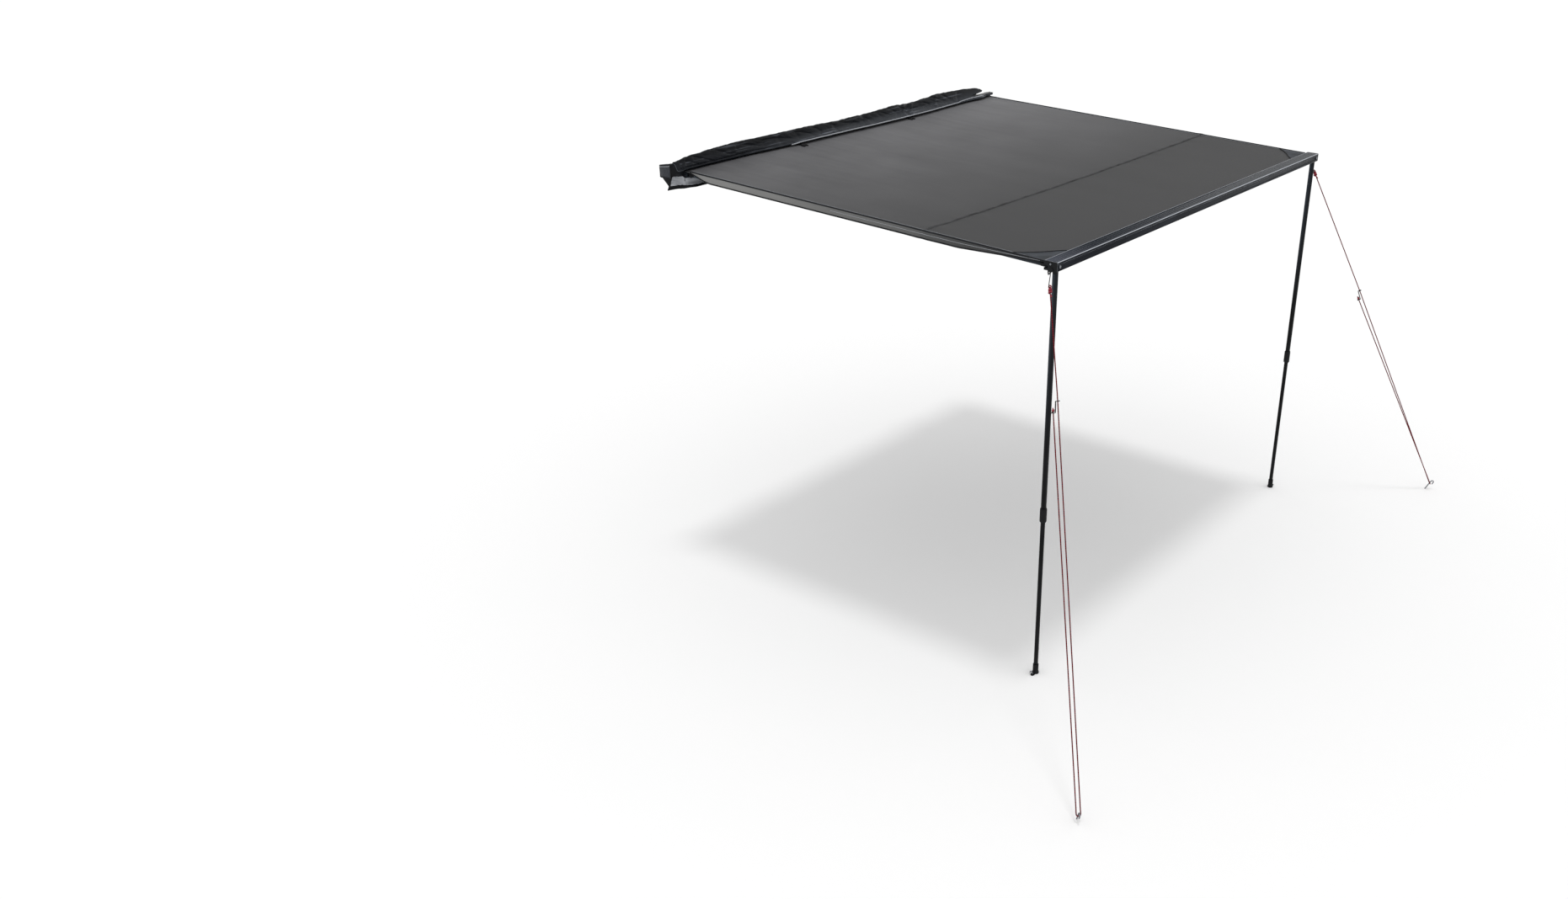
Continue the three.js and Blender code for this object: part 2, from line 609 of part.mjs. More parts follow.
function clevisSolid(side) {
  const earStart = KNUCKLE_HEIGHT / 2 + FIT_GAP;
  const baseFront = RAFTER_PIN_OFFSET - FIT_GAP - CLEVIS_BASE_THICKNESS;
  const shape = new THREE.Shape();
  shape.absarc(0, 0, KNUCKLE_RADIUS, Math.PI, Math.PI * 1.5);
  shape.absarc(0, 0, KNUCKLE_RADIUS, Math.PI * 1.5, Math.PI * 2);
  shape.lineTo(KNUCKLE_RADIUS, baseFront + CLEVIS_BASE_THICKNESS / 2);
  shape.lineTo(-KNUCKLE_RADIUS, baseFront + CLEVIS_BASE_THICKNESS / 2);
  shape.closePath();
  const pin = alongZ(disc(RAFTER_PIN_DIAMETER + BOLT_CLEARANCE * 2), KNUCKLE_HEIGHT * 2);
  const ear = alongZ(shape, CLEVIS_EAR);
  const ears = [-1, 1].map((end) => ear.translate([0, 0, end * (earStart + CLEVIS_EAR / 2)]));
  const pitched = joined(...ears).subtract(pin)
    .rotate([THREE.MathUtils.radToDeg(RAFTER_PITCH), 0, 0]);
  const baseHeight = (earStart + CLEVIS_EAR) * 2;
  const base = alongY(rounded(CLEVIS_BASE_LENGTH, baseHeight, CLEVIS_BASE_CORNER), CLEVIS_BASE_THICKNESS);
  const baseX = -side * (CLEVIS_BASE_LENGTH / 2 - KNUCKLE_RADIUS - CLEVIS_BASE_CORNER);
  return pitched.add(base.translate([baseX, baseFront + CLEVIS_BASE_THICKNESS / 2, 0]));
}

function rafterPinSolid() {
  const half = KNUCKLE_HEIGHT / 2 + FIT_GAP + CLEVIS_EAR;
  const radius = RAFTER_PIN_DIAMETER / 2;
  const head = RAFTER_PIN_HEAD / 2;
  const seat = -half - FIT_GAP;
  return turned([
    [0, seat - PIN_HEAD_HEIGHT], [head - PIN_HEAD_HEIGHT / 2, seat - PIN_HEAD_HEIGHT],
    [head, seat - PIN_HEAD_HEIGHT / 2], [head, seat], [radius, seat], [radius, half], [0, half],
  ]);
}

function rafterKnuckleSolid() {
  const bore = RAFTER_OUTER_DIAMETER - (TUBE_WALL + FIT_GAP) * 2;
  const tubeFace = KNUCKLE_LENGTH - FIT_GAP;
  const eye = alongZ(disc(KNUCKLE_RADIUS * 2), KNUCKLE_HEIGHT);
  const neck = alongY(disc(KNUCKLE_NECK), tubeFace).translate([0, -tubeFace / 2, 0])
    .intersect(alongZ(rounded(KNUCKLE_RADIUS * 2, tubeFace * 2, FIT_GAP), KNUCKLE_HEIGHT));
  const collar = alongY(disc(RAFTER_OUTER_DIAMETER), tubeFace - KNUCKLE_HEIGHT)
    .translate([0, -(tubeFace + KNUCKLE_HEIGHT) / 2, 0]);
  const spigotLength = SPIGOT_LENGTH + CUT_OVERRUN;
  const spigot = alongY(disc(bore), spigotLength)
    .translate([0, -tubeFace - spigotLength / 2 + CUT_OVERRUN, 0]);
  const pin = alongZ(disc(RAFTER_PIN_DIAMETER + BOLT_CLEARANCE * 2), KNUCKLE_HEIGHT + CUT_OVERRUN);
  return joined(eye, neck, collar, spigot).subtract(pin);
}

// Twist lock: a fluted collar, bored for the outer tube above and the inner one below
function lockSolid(diameter, length, outerTube, innerTube) {
  const outer = diameter / 2;
  const slim = outer - LOCK_TAPER_DEPTH;
  const wide = outerTube / 2 + FIT_GAP;
  const narrow = innerTube / 2 + FIT_GAP;
  const step = -LOCK_GRIP - FIT_GAP;
  const body = turned([
    [wide, 0], [slim, 0], [outer, -LOCK_TAPER], [outer, LOCK_TAPER - length],
    [slim, -length], [narrow, -length], [narrow, step], [wide, step],
  ]);
  const fluteLength = length - LOCK_TAPER * 2 - LOCK_GRIP;
  const flute = alongZ(disc(LOCK_FLUTE_RADIUS * 2, LOCK_FLUTE_SIDES), fluteLength);
  const place = outer + LOCK_FLUTE_RADIUS - LOCK_FLUTE_DEPTH;
  const middle = -(length + LOCK_GRIP) / 2;
  let fluted = body;
  for (let i = 0; i < LOCK_FLUTES; i += 1) {
    const turn = (i / LOCK_FLUTES) * Math.PI * 2;
    fluted = fluted.subtract(flute.translate([Math.cos(turn) * place, Math.sin(turn) * place, middle]));
  }
  return fluted;
}

function rafterTipSolid() {
  const bore = RAFTER_INNER_DIAMETER - (TUBE_WALL + FIT_GAP) * 2;
  const body = alongY(disc(TIP_DIAMETER), TIP_LENGTH).translate([0, -TIP_LENGTH / 2, 0]);
  const plug = alongY(disc(bore), SPIGOT_LENGTH).translate([0, CUT_OVERRUN / 2, 0]);
  const plugCut = plug.translate([0, SPIGOT_LENGTH / 2 - CUT_OVERRUN, 0]);
  const tongueLength = TONGUE_LENGTH + TIP_STANDOFF + CUT_OVERRUN;
  const tongueShape = rounded(TONGUE_WIDTH, tongueLength, TONGUE_WIDTH / 5);
  const tongue = alongZ(tongueShape, TONGUE_THICKNESS)
    .translate([0, CUT_OVERRUN - TIP_LENGTH - tongueLength / 2, 0]);
  return joined(body, plugCut, tongue);
}

function rafterGroup(name, side) {
  const group = new THREE.Group();
  group.position.set(side * RAFTER_X, RAFTER_PIN_Y, 0);
  group.add(piece(`rafter_clevis_${name}`, clevisSolid(side), painted));
  const pitched = new THREE.Group();
  pitched.rotation.x = RAFTER_PITCH;
  const outerTube = piece(
    `rafter_outer_tube_${name}`,
    tubeDown(RAFTER_OUTER_DIAMETER, RAFTER_OUTER_END - KNUCKLE_LENGTH).rotate([-90, 0, 0]),
    painted,
  );
  outerTube.position.y = -KNUCKLE_LENGTH;
  const lock = piece(
    `rafter_lock_${name}`,
    lockSolid(RAFTER_LOCK_DIAMETER, RAFTER_LOCK_LENGTH, RAFTER_OUTER_DIAMETER, RAFTER_INNER_DIAMETER)
      .rotate([-90, 0, 0]),
    moulded,
  );
  lock.position.y = LOCK_GRIP - RAFTER_OUTER_END;
  const tipStart = RAFTER_SPAN - TIP_STANDOFF - TIP_LENGTH;
  const innerStart = RAFTER_OUTER_END - RAFTER_OVERLAP;
  const innerTube = piece(
    `rafter_inner_tube_${name}`,
    tubeDown(RAFTER_INNER_DIAMETER, tipStart - FIT_GAP - innerStart).rotate([-90, 0, 0]),
    painted,
  );
  innerTube.position.y = -innerStart;
  const tip = piece(`rafter_tip_${name}`, rafterTipSolid(), moulded);
  tip.position.y = -tipStart;
  pitched.add(
    piece(`rafter_pin_${name}`, rafterPinSolid(), steel),
    piece(`rafter_knuckle_${name}`, rafterKnuckleSolid(), moulded),
    outerTube, lock, innerTube, tip,
  );
  group.add(pitched);
  return group;
}

// Front rail: a channel behind for the rafters, one below for the folded legs,
// and a bead groove above the rear channel for the canopy

function frontRailSection() {
  const wall = FRONT_RAIL_WALL;
  const inner = -wall - REAR_CHANNEL_DEPTH;
  const slotLow = REAR_SLOT_LEVEL - REAR_SLOT_HEIGHT / 2;
  const slotHigh = REAR_SLOT_LEVEL + REAR_SLOT_HEIGHT / 2;
  const front = -FRONT_RAIL_WIDTH;
  const corner = FRONT_RAIL_CORNER;
  const shape = new THREE.Shape();
  shape.moveTo(0, 0);
  shape.lineTo(0, slotLow);
  shape.lineTo(-wall, slotLow);
  shape.lineTo(-wall, wall);
  shape.lineTo(inner, wall);
  shape.lineTo(inner, REAR_CHANNEL_TOP);
  shape.lineTo(-wall, REAR_CHANNEL_TOP);
  shape.lineTo(-wall, slotHigh);
  shape.lineTo(0, slotHigh);
  addBeadGroove(shape, [-BEAD_DEPTH, FRONT_BEAD_LEVEL], 0);
  shape.lineTo(0, FRONT_RAIL_HEIGHT - corner / 4);
  shape.lineTo(-corner / 4, FRONT_RAIL_HEIGHT);
  for (let i = 1; i <= RAIL_RIBS; i += 1) {
    const middle = (front * i) / (RAIL_RIBS + 1);
    shape.lineTo(middle + RAIL_RIB_WIDTH / 2, FRONT_RAIL_HEIGHT);
    shape.lineTo(middle, FRONT_RAIL_HEIGHT - RAIL_RIB_DEPTH);
    shape.lineTo(middle - RAIL_RIB_WIDTH / 2, FRONT_RAIL_HEIGHT);
  }
  shape.absarc(front + corner, FRONT_RAIL_HEIGHT - corner, corner, Math.PI / 2, Math.PI);
  shape.lineTo(front, FRONT_LINE_LEVEL + RAIL_RIB_WIDTH / 2);
  shape.lineTo(front + RAIL_RIB_DEPTH, FRONT_LINE_LEVEL);
  shape.lineTo(front, FRONT_LINE_LEVEL - RAIL_RIB_WIDTH / 2);
  shape.lineTo(front, 0);
  shape.lineTo(front + wall, 0);
  shape.lineTo(front + wall, LEG_CHANNEL_HEIGHT);
  shape.lineTo(-LEG_CHANNEL_START, LEG_CHANNEL_HEIGHT);
  shape.lineTo(-LEG_CHANNEL_START, 0);
  shape.closePath();
  shape.holes.push(outline(frontHollow(0)));
  return shape;
}

// Corners of the hollow between the bead groove and the leg channel, drawn in by a gap
function frontHollow(gap) {
  const rear = -BEAD_DEPTH - BEAD_GROOVE / 2 - FRONT_RAIL_WALL - gap;
  const front = FRONT_RAIL_WALL - LEG_CHANNEL_START + gap;
  const low = REAR_CHANNEL_TOP + FRONT_RAIL_WALL + gap;
  const high = FRONT_RAIL_HEIGHT - FRONT_RAIL_WALL - gap;
  return [[rear, low], [rear, high], [front, high], [front, low]];
}

function frontRailSolid() {
  const cutLength = FRONT_RAIL_WIDTH + CUT_OVERRUN;
  const cutY = -FRONT_RAIL_WALL * 2 - REAR_CHANNEL_DEPTH + FRONT_RAIL_WALL * 1.5 - cutLength / 2;
  const cut = alongY(disc(LEG_BOLT_DIAMETER + BOLT_CLEARANCE * 2), cutLength)
    .translate([0, cutY, LEG_PIVOT_LEVEL]);
  return [-1, 1].reduce(
    (body, side) => body.subtract(cut.translate([side * LEG_X, 0, 0])),
    alongX(frontRailSection(), RAIL_LENGTH),
  );
}

function frontCapSolid(side) {
  const wall = FRONT_RAIL_WALL;
  const corner = FRONT_RAIL_CORNER;
  const slotLow = REAR_SLOT_LEVEL - REAR_SLOT_HEIGHT / 2;
  const slotHigh = REAR_SLOT_LEVEL + REAR_SLOT_HEIGHT / 2;
  const inner = -wall - REAR_CHANNEL_DEPTH * 0.7;
  const shape = new THREE.Shape();
  shape.moveTo(0, 0);
  shape.lineTo(0, slotLow);
  shape.lineTo(inner, slotLow);
  shape.lineTo(inner, slotHigh);
  shape.lineTo(0, slotHigh);
  shape.lineTo(0, FRONT_RAIL_HEIGHT - corner / 4);
  shape.lineTo(-corner / 4, FRONT_RAIL_HEIGHT);
  shape.absarc(corner - FRONT_RAIL_WIDTH, FRONT_RAIL_HEIGHT - corner, corner, Math.PI / 2, Math.PI);
  shape.lineTo(-FRONT_RAIL_WIDTH, 0);
  shape.closePath();
  const plate = alongX(shape, FRONT_CAP_THICKNESS);
  const discX = side * (FRONT_CAP_THICKNESS + END_DISC_THICKNESS) / 2;
  const boss = alongX(disc(END_DISC_DIAMETER), END_DISC_THICKNESS + CUT_OVERRUN / 2)
    .translate([discX - side * CUT_OVERRUN / 4, -END_DISC_OFFSET, END_DISC_LEVEL]);
  const tab = new THREE.Shape();
  tab.absarc(-EYE_OFFSET, -EYE_DROP, EYE_TAB_WIDTH / 2, Math.PI, Math.PI * 1.5);
  tab.absarc(-EYE_OFFSET, -EYE_DROP, EYE_TAB_WIDTH / 2, Math.PI * 1.5, Math.PI * 2);
  tab.lineTo(-EYE_OFFSET + EYE_TAB_WIDTH / 2, wall);
  tab.lineTo(-EYE_OFFSET - EYE_TAB_WIDTH / 2, wall);
  tab.closePath();
  const eye = alongX(disc(EYE_DIAMETER), FRONT_CAP_THICKNESS + CUT_OVERRUN)
    .translate([0, -EYE_OFFSET, -EYE_DROP]);
  const plugLength = FRONT_CAP_PLUG + FIT_GAP;
  const plug = alongX(outline(frontHollow(FIT_GAP)), plugLength)
    .translate([-side * (plugLength + FRONT_CAP_THICKNESS) / 2, 0, 0]);
  return joined(plate, boss, alongX(tab, FRONT_CAP_THICKNESS), plug).subtract(eye);
}

function legBoltSolid() {
  const radius = LEG_BOLT_DIAMETER / 2;
  const head = LEG_BOLT_HEAD / 2;
  const reach = FRONT_RAIL_WALL * 2 + LEG_CHANNEL_WIDTH;
  const top = LEG_BOLT_HEAD_HEIGHT + FIT_GAP;
  const crown = LEG_BOLT_HEAD_HEIGHT / 3;
  return turned([
    [0, FIT_GAP - reach], [radius, FIT_GAP - reach], [radius, FIT_GAP], [head, FIT_GAP],
    [head, top - crown], [head - crown, top], [0, top],
  ]).rotate([90, 0, 0]);
}

function frontRailGroup() {
  const group = new THREE.Group();
  group.position.set(0, -REACH, FRONT_RAIL_Z);
  group.add(piece('front_rail', frontRailSolid(), anodised));
  for (const [name, side] of [['left', -1], ['right', 1]]) {
    const cap = piece(`front_rail_cap_${name}`, frontCapSolid(side), moulded);
    cap.position.x = side * (HALF_RAIL + FIT_GAP + FRONT_CAP_THICKNESS / 2);
    const bolt = piece(`leg_bolt_${name}`, legBoltSolid(), steel);
    bolt.position.set(side * LEG_X, -FRONT_RAIL_WIDTH, LEG_PIVOT_LEVEL);
    group.add(cap, bolt);
  }
  return group;
}

// Legs: telescopic, with a knuckle in the front rail's lower channel; built down from the pivot

function legKnuckleSolid() {
  const bore = LEG_OUTER_DIAMETER - (TUBE_WALL + FIT_GAP) * 2;
  const tubeFace = LEG_TUBE_START - FIT_GAP;
  const head = alongY(disc(LEG_KNUCKLE_RADIUS * 2), LEG_KNUCKLE_WIDTH);
  const neck = turned([
    [0, 0], [0, -tubeFace - SPIGOT_LENGTH], [bore / 2, -tubeFace - SPIGOT_LENGTH],
    [bore / 2, -tubeFace], [LEG_OUTER_DIAMETER / 2, -tubeFace], [LEG_OUTER_DIAMETER / 2, 0],
  ]);
  const pin = alongY(disc(LEG_BOLT_DIAMETER + BOLT_CLEARANCE * 2), LEG_KNUCKLE_WIDTH + CUT_OVERRUN);
  return head.add(neck).subtract(pin);
}

function footSolid(side) {
  const radius = FOOT_DIAMETER / 2;
  const neck = FOOT_NECK_DIAMETER / 2;
  const bore = LEG_INNER_DIAMETER / 2 + FIT_GAP;
  const floor = FOOT_HEIGHT - FOOT_SOCKET;
  const boot = turned([
    [0, 0], [radius, 0], [radius, FOOT_FLANGE], [neck, FOOT_FLANGE * 2],
    [neck, FOOT_HEIGHT], [bore, FOOT_HEIGHT], [bore, floor], [0, floor],
  ]);
  const spike = turned([
    [0, -FOOT_SPIKE_LENGTH], [FOOT_SPIKE_DIAMETER / 2, -FOOT_SPIKE_LENGTH / 3],
    [FOOT_SPIKE_DIAMETER / 2, FOOT_FLANGE / 2], [0, FOOT_FLANGE / 2],
  ], WIRE_SIDES);
  const earLength = FOOT_EAR_REACH + FOOT_EAR_WIDTH / 2;
  const ear = alongZ(rounded(earLength, FOOT_EAR_WIDTH, FOOT_EAR_WIDTH / 2 - FIT_GAP), FOOT_FLANGE)
    .translate([side * earLength / 2, 0, FOOT_FLANGE / 2]);
  const holeShape = disc(LEG_PEG_DIAMETER + BOLT_CLEARANCE * 2, WIRE_SIDES * 2);
  const hole = alongZ(holeShape, FOOT_FLANGE + CUT_OVERRUN)
    .translate([side * FOOT_EAR_REACH, 0, FOOT_FLANGE / 2]);
  return joined(boot, spike, ear).subtract(hole);
}

// Steel peg: a pointed shank with a half-turn hook at its top, along one direction
function pegSolid(top, shankEnd, hookSide, diameter, hookRadius, hookTail) {
  const down = shankEnd.clone().sub(top).normalize();
  const centre = top.clone().addScaledVector(hookSide, hookRadius);
  const back = hookSide.clone().negate();
  const up = down.clone().negate();
  const bend = arcPoints(centre, back, up, hookRadius, 0, Math.PI);
  const tail = bend[bend.length - 1].clone().addScaledVector(down, hookTail);
  const neck = shankEnd.clone().addScaledVector(down, -PEG_POINT);
  const shank = wire([neck, top, ...bend.slice(1), tail], diameter);
  const point = turned([
    [0, -PEG_POINT], [diameter / 2, 0], [diameter / 2, diameter / 2], [0, diameter / 2],
  ], WIRE_SIDES);
  const turn = new THREE.Quaternion().setFromUnitVectors(UP, up);
  const place = new THREE.Matrix4().compose(neck, turn, new THREE.Vector3(1, 1, 1));
  return shank.add(point.transform(place.elements));
}

function legPegSolid() {
  const seat = FOOT_FLANGE + LEG_PEG_STANDOFF;
  return pegSolid(
    new THREE.Vector3(0, 0, seat), new THREE.Vector3(0, 0, -LEG_PEG_DEPTH),
    new THREE.Vector3(0, 1, 0), LEG_PEG_DIAMETER, LEG_PEG_HOOK, LEG_PEG_STANDOFF / 2,
  );
}

function legGroup(name, side) {
  const group = new THREE.Group();
  group.position.set(side * LEG_X, LEG_Y, LEG_PIVOT_Z);
  const outerTube = piece(
    `leg_outer_tube_${name}`,
    tubeDown(LEG_OUTER_DIAMETER, LEG_OUTER_END - LEG_TUBE_START),
    painted,
  );
  outerTube.position.z = -LEG_TUBE_START;
  const lock = piece(
    `leg_lock_${name}`,
    lockSolid(LEG_LOCK_DIAMETER, LEG_LOCK_LENGTH, LEG_OUTER_DIAMETER, LEG_INNER_DIAMETER),
    moulded,
  );
  lock.position.z = LOCK_GRIP - LEG_OUTER_END;
  const innerStart = LEG_OUTER_END - LEG_OVERLAP;
  const innerEnd = LEG_LENGTH - FOOT_HEIGHT + FOOT_SOCKET - FIT_GAP;
  const innerTube = piece(
    `leg_inner_tube_${name}`,
    tubeDown(LEG_INNER_DIAMETER, innerEnd - innerStart),
    painted,
  );
  innerTube.position.z = -innerStart;
  const foot = piece(`leg_foot_${name}`, footSolid(side), moulded);
  foot.position.z = -LEG_LENGTH;
  const peg = piece(`leg_peg_${name}`, legPegSolid(), steel);
  peg.position.set(side * FOOT_EAR_REACH, 0, -LEG_LENGTH);
  group.add(
    piece(`leg_knuckle_${name}`, legKnuckleSolid(), moulded),
    outerTube, lock, innerTube, foot, peg,
  );
  return group;
}

// Canopy: one sheet from groove to groove, with a hanging band along each side

const CANOPY_BACK = -BACK_RAIL_DEPTH + BEAD_DEPTH;
const CANOPY_FRONT = -REACH - BEAD_DEPTH;
const CANOPY_FRONT_Z = FRONT_RAIL_Z + FRONT_BEAD_LEVEL;

function canopyLevel(x, y) {
  const along = (y - CANOPY_BACK) / (CANOPY_FRONT - CANOPY_BACK);
  const across = x / CANOPY_HALF_WIDTH;
  const sag = CANOPY_SAG * (1 - across ** 2) * Math.sin(Math.PI * along);
  return CANOPY_LINE + (CANOPY_FRONT_Z - CANOPY_LINE) * along - sag;
}

function bandDepth(y) {
  const room = Math.min(-BACK_RAIL_DEPTH - y, y + REACH) / SIDE_BAND_TAPER;
  const grown = THREE.MathUtils.smoothstep(room, 0, 1);
  return CANOPY_THICKNESS * 0.55 + (SIDE_BAND_DEPTH - CANOPY_THICKNESS) * grown;
}

// One cross-section of the canopy: over the top from left to right, and back below
function canopyRing(y) {
  const half = CANOPY_THICKNESS / 2;
  const low = bandDepth(y);
  const upper = [];
  const lower = [];
  for (let i = 0; i <= CANOPY_COLUMNS; i += 1) {
    const share = (i / CANOPY_COLUMNS) * 2 - 1;
    const x = share * CANOPY_HALF_WIDTH;
    const inside = share * (CANOPY_HALF_WIDTH - CANOPY_THICKNESS);
    upper.push(new THREE.Vector3(x, y, canopyLevel(x, y) + half));
    lower.unshift(new THREE.Vector3(inside, y, canopyLevel(x, y) - half));
  }
  const edge = canopyLevel(CANOPY_HALF_WIDTH, y);
  const hem = (x) => new THREE.Vector3(x, y, edge - low);
  const inner = CANOPY_HALF_WIDTH - CANOPY_THICKNESS;
  return [
    hem(-CANOPY_HALF_WIDTH), ...upper, hem(CANOPY_HALF_WIDTH), hem(inner), ...lower, hem(-inner),
  ];
}

// A closed skin over a row of rings with the same number of points, each drawn clockwise
function lofted(rings) {
  const count = rings[0].length;
  const points = rings.flat().flatMap((point) => point.toArray());
  const corners = [];
  for (let r = 0; r < rings.length - 1; r += 1) {
    for (let i = 0; i < count; i += 1) {
      const a = r * count + i;
      const b = r * count + ((i + 1) % count);
      corners.push(a, b, b + count, a, b + count, a + count);
    }
  }
  const flat = rings[0].map((point) => new THREE.Vector2(point.x, point.z));
  const cap = THREE.ShapeUtils.triangulateShape(flat, []);
  const last = (rings.length - 1) * count;
  for (const [a, b, c] of cap) {
    corners.push(a, b, c, last + b, last + a, last + c);
  }
  const geometry = new THREE.BufferGeometry();
  geometry.setAttribute('position', new THREE.Float32BufferAttribute(points, 3));
  geometry.setIndex(corners);
  return solidOf(geometry);
}

function canopySolid() {
  const rings = [];
  for (let i = 0; i <= CANOPY_ROWS; i += 1) {
    const share = (1 - Math.cos((i / CANOPY_ROWS) * Math.PI)) / 2;
    rings.push(canopyRing(CANOPY_BACK + (CANOPY_FRONT - CANOPY_BACK) * share));
  }
  const bead = alongX(disc(CANOPY_BEAD, WIRE_SIDES), CANOPY_HALF_WIDTH * 2);
  return joined(
    lofted(rings),
    bead.translate([0, CANOPY_BACK, CANOPY_LINE]),
    bead.translate([0, CANOPY_FRONT, CANOPY_FRONT_Z]),
  );
}

// Bag: the top flap folded back on itself, the lower flap hanging open, and an end panel
// sewn on at each end; both flaps hang from beads in the back rail

const BAG_ROOT_Y = -BACK_RAIL_DEPTH + BACK_RAIL_WALL + BEAD_GROOVE / 2;
const FLAP_LENGTH = BAG_LENGTH - (BAG_WALL + FIT_GAP) * 2;

function bagFlapLine() {
  const rise = BAG_TOP - BAG_WALL / 2 - BAG_LIP;
  const reach = BAG_OVERHANG - BAG_WALL / 2;
  const foldShares = [
    [0.06, 0.36], [0, 0.6], [0.1, 0.86], [0.36, 1], [0.68, 0.92], [0.93, 0.6],
    [1, 0.28], [0.86, 0.07], [0.62, 0.03],
  ];
  const root = [BAG_ROOT_Y, HALF_BACK + FIT_GAP + BAG_WALL / 2];
  return [root, ...foldShares.map(([y, z]) => [-y * reach, BAG_LIP + z * rise])];
}

function bagTrayLine() {
  const root = [BAG_ROOT_Y, -HALF_BACK - FIT_GAP - BAG_WALL / 2];
  const drop = BAG_TRAY_LEVEL - BAG_WALL / 2;
  const rise = BAG_PIPING / 2;
  const traySpan = BAG_TRAY_REACH - BAG_PIPING / 2;
  return [
    root, [BAG_ROOT_Y - traySpan * 0.2, -HALF_BACK - drop * 0.13], [-traySpan * 0.6, -drop],
    [-traySpan * 0.85, -drop], [-traySpan, rise - drop],
  ];
}

// The bead and its neck that hold one flap in the back rail
function bagHold(side) {
  const neckWidth = BEAD_MOUTH - FIT_GAP * 2;
  const neckHeight = BEAD_DEPTH + FIT_GAP + BAG_WALL / 2;
  const heldLength = RAIL_LENGTH - BAG_END_INSET * 2;
  const level = HALF_BACK - BEAD_DEPTH;
  const bead = alongX(disc(CANOPY_BEAD, WIRE_SIDES), heldLength)
    .translate([0, BAG_ROOT_Y, side * level]);
  const neck = alongX(rounded(neckWidth, neckHeight, FIT_GAP), heldLength)
    .translate([0, BAG_ROOT_Y, side * (level + neckHeight / 2)]);
  return bead.add(neck);
}

function bagFlapSolid() {
  const line = smoothLine(bagFlapLine(), FLAP_STEPS);
  return alongX(ribbon(line, BAG_WALL), FLAP_LENGTH).add(bagHold(1));
}

function bagTraySolid() {
  const corners = bagTrayLine();
  const tray = alongX(ribbon(smoothLine(corners, TRAY_STEPS), BAG_WALL), FLAP_LENGTH);
  const piping = alongX(disc(BAG_PIPING, WIRE_SIDES), FLAP_LENGTH)
    .translate([0, ...corners[corners.length - 1]]);
  return joined(tray, piping, bagHold(-1));
}

function bagEndSolid() {
  return alongX(outline([
    [-BAG_OVERHANG, -BAG_TRAY_LEVEL], [0, -BAG_TRAY_LEVEL], [BAG_END_BACK, -BAG_TRAY_LEVEL / 3],
    [BAG_END_BACK, BAG_TOP / 2], [0, BAG_TOP * 0.8], [-BAG_OVERHANG * 0.9, BAG_TOP * 0.7],
  ]), BAG_WALL);
}

function bagGroup() {
  const group = new THREE.Group();
  group.add(piece('bag_flap', bagFlapSolid(), vinyl), piece('bag_tray', bagTraySolid(), vinyl));
  for (const [name, side] of [['left', -1], ['right', 1]]) {
    const panel = piece(`bag_end_${name}`, bagEndSolid(), vinyl);
    panel.position.x = side * (BAG_LENGTH - BAG_WALL) / 2;
    group.add(panel);
  }
  return group;
}

// Strap: webbing from the rail's front face out over the canopy, with half a buckle

function strapSolid(x) {
  const half = STRAP_THICKNESS / 2;
  const front = -BACK_RAIL_DEPTH;
  const face = front - FIT_GAP - half;
  const lay = (y) => canopyLevel(x, y) + CANOPY_THICKNESS / 2 + FIT_GAP + half;
  const bend = STRAP_THICKNESS * 3;
  const line = [
    [face, CANOPY_LINE + STRAP_RISE], [face, lay(face) + bend],
    [face - bend / 3, lay(face) + bend / 3], [face - bend, lay(face - bend)],
    [front - STRAP_REACH / 2, lay(front - STRAP_REACH / 2)],
    [front - STRAP_REACH, lay(front - STRAP_REACH)],
  ];
  return alongX(ribbon(line.map(([y, z]) => new THREE.Vector2(y, z)), STRAP_THICKNESS), STRAP_WIDTH);
}

function buckleSolid() {
  const half = BUCKLE_WIDTH / 2;
  const body = -BUCKLE_LENGTH * 0.45;
  const prong = half - BUCKLE_PRONG;
  const shape = outline([
    [-half, 0], [-half, body], [-half + BUCKLE_PRONG / 3, -BUCKLE_LENGTH], [-prong, -BUCKLE_LENGTH],
    [-prong, body], [-BUCKLE_PRONG / 2, body], [-BUCKLE_PRONG / 2, -BUCKLE_LENGTH * 0.8],
    [BUCKLE_PRONG / 2, -BUCKLE_LENGTH * 0.8], [BUCKLE_PRONG / 2, body], [prong, body],
    [prong, -BUCKLE_LENGTH], [half - BUCKLE_PRONG / 3, -BUCKLE_LENGTH], [half, body], [half, 0],
  ]);
  return alongZ(shape, BUCKLE_THICKNESS);
}

function strapGroup(name, x) {
  const group = new THREE.Group();
  group.position.x = x;
  const end = -BACK_RAIL_DEPTH - STRAP_REACH - FIT_GAP;
  const buckle = piece(`strap_buckle_${name}`, buckleSolid(), moulded);
  buckle.position.set(0, end, canopyLevel(x, end) + CANOPY_THICKNESS / 2 + FIT_GAP + BUCKLE_THICKNESS / 2);
  buckle.rotation.x = RAFTER_PITCH;
  group.add(piece(`bag_strap_${name}`, strapSolid(x), webbing), buckle);
  return group;
}

// Guy rope: a wire hook in the rail's eye, a knot, a runner, the rope and its peg

function guyFrame(name, side) {
  const { peg, runner, roll } = GUYS[name];
  const eyeX = side * (HALF_RAIL + FIT_GAP + FRONT_CAP_THICKNESS / 2);
  const eye = new THREE.Vector3(eyeX, -REACH - EYE_OFFSET, FRONT_RAIL_Z - EYE_DROP);
  const turn = new THREE.Vector3(...peg);
  const down = turn.clone().sub(eye).normalize();
  const level = UP.clone().cross(down).normalize();
  const upright = down.clone().cross(level);
  const angle = THREE.MathUtils.degToRad(roll);
  const aside = level.multiplyScalar(Math.cos(angle)).addScaledVector(upright, Math.sin(angle));
  return { eye, turn, down, aside, runner };
}

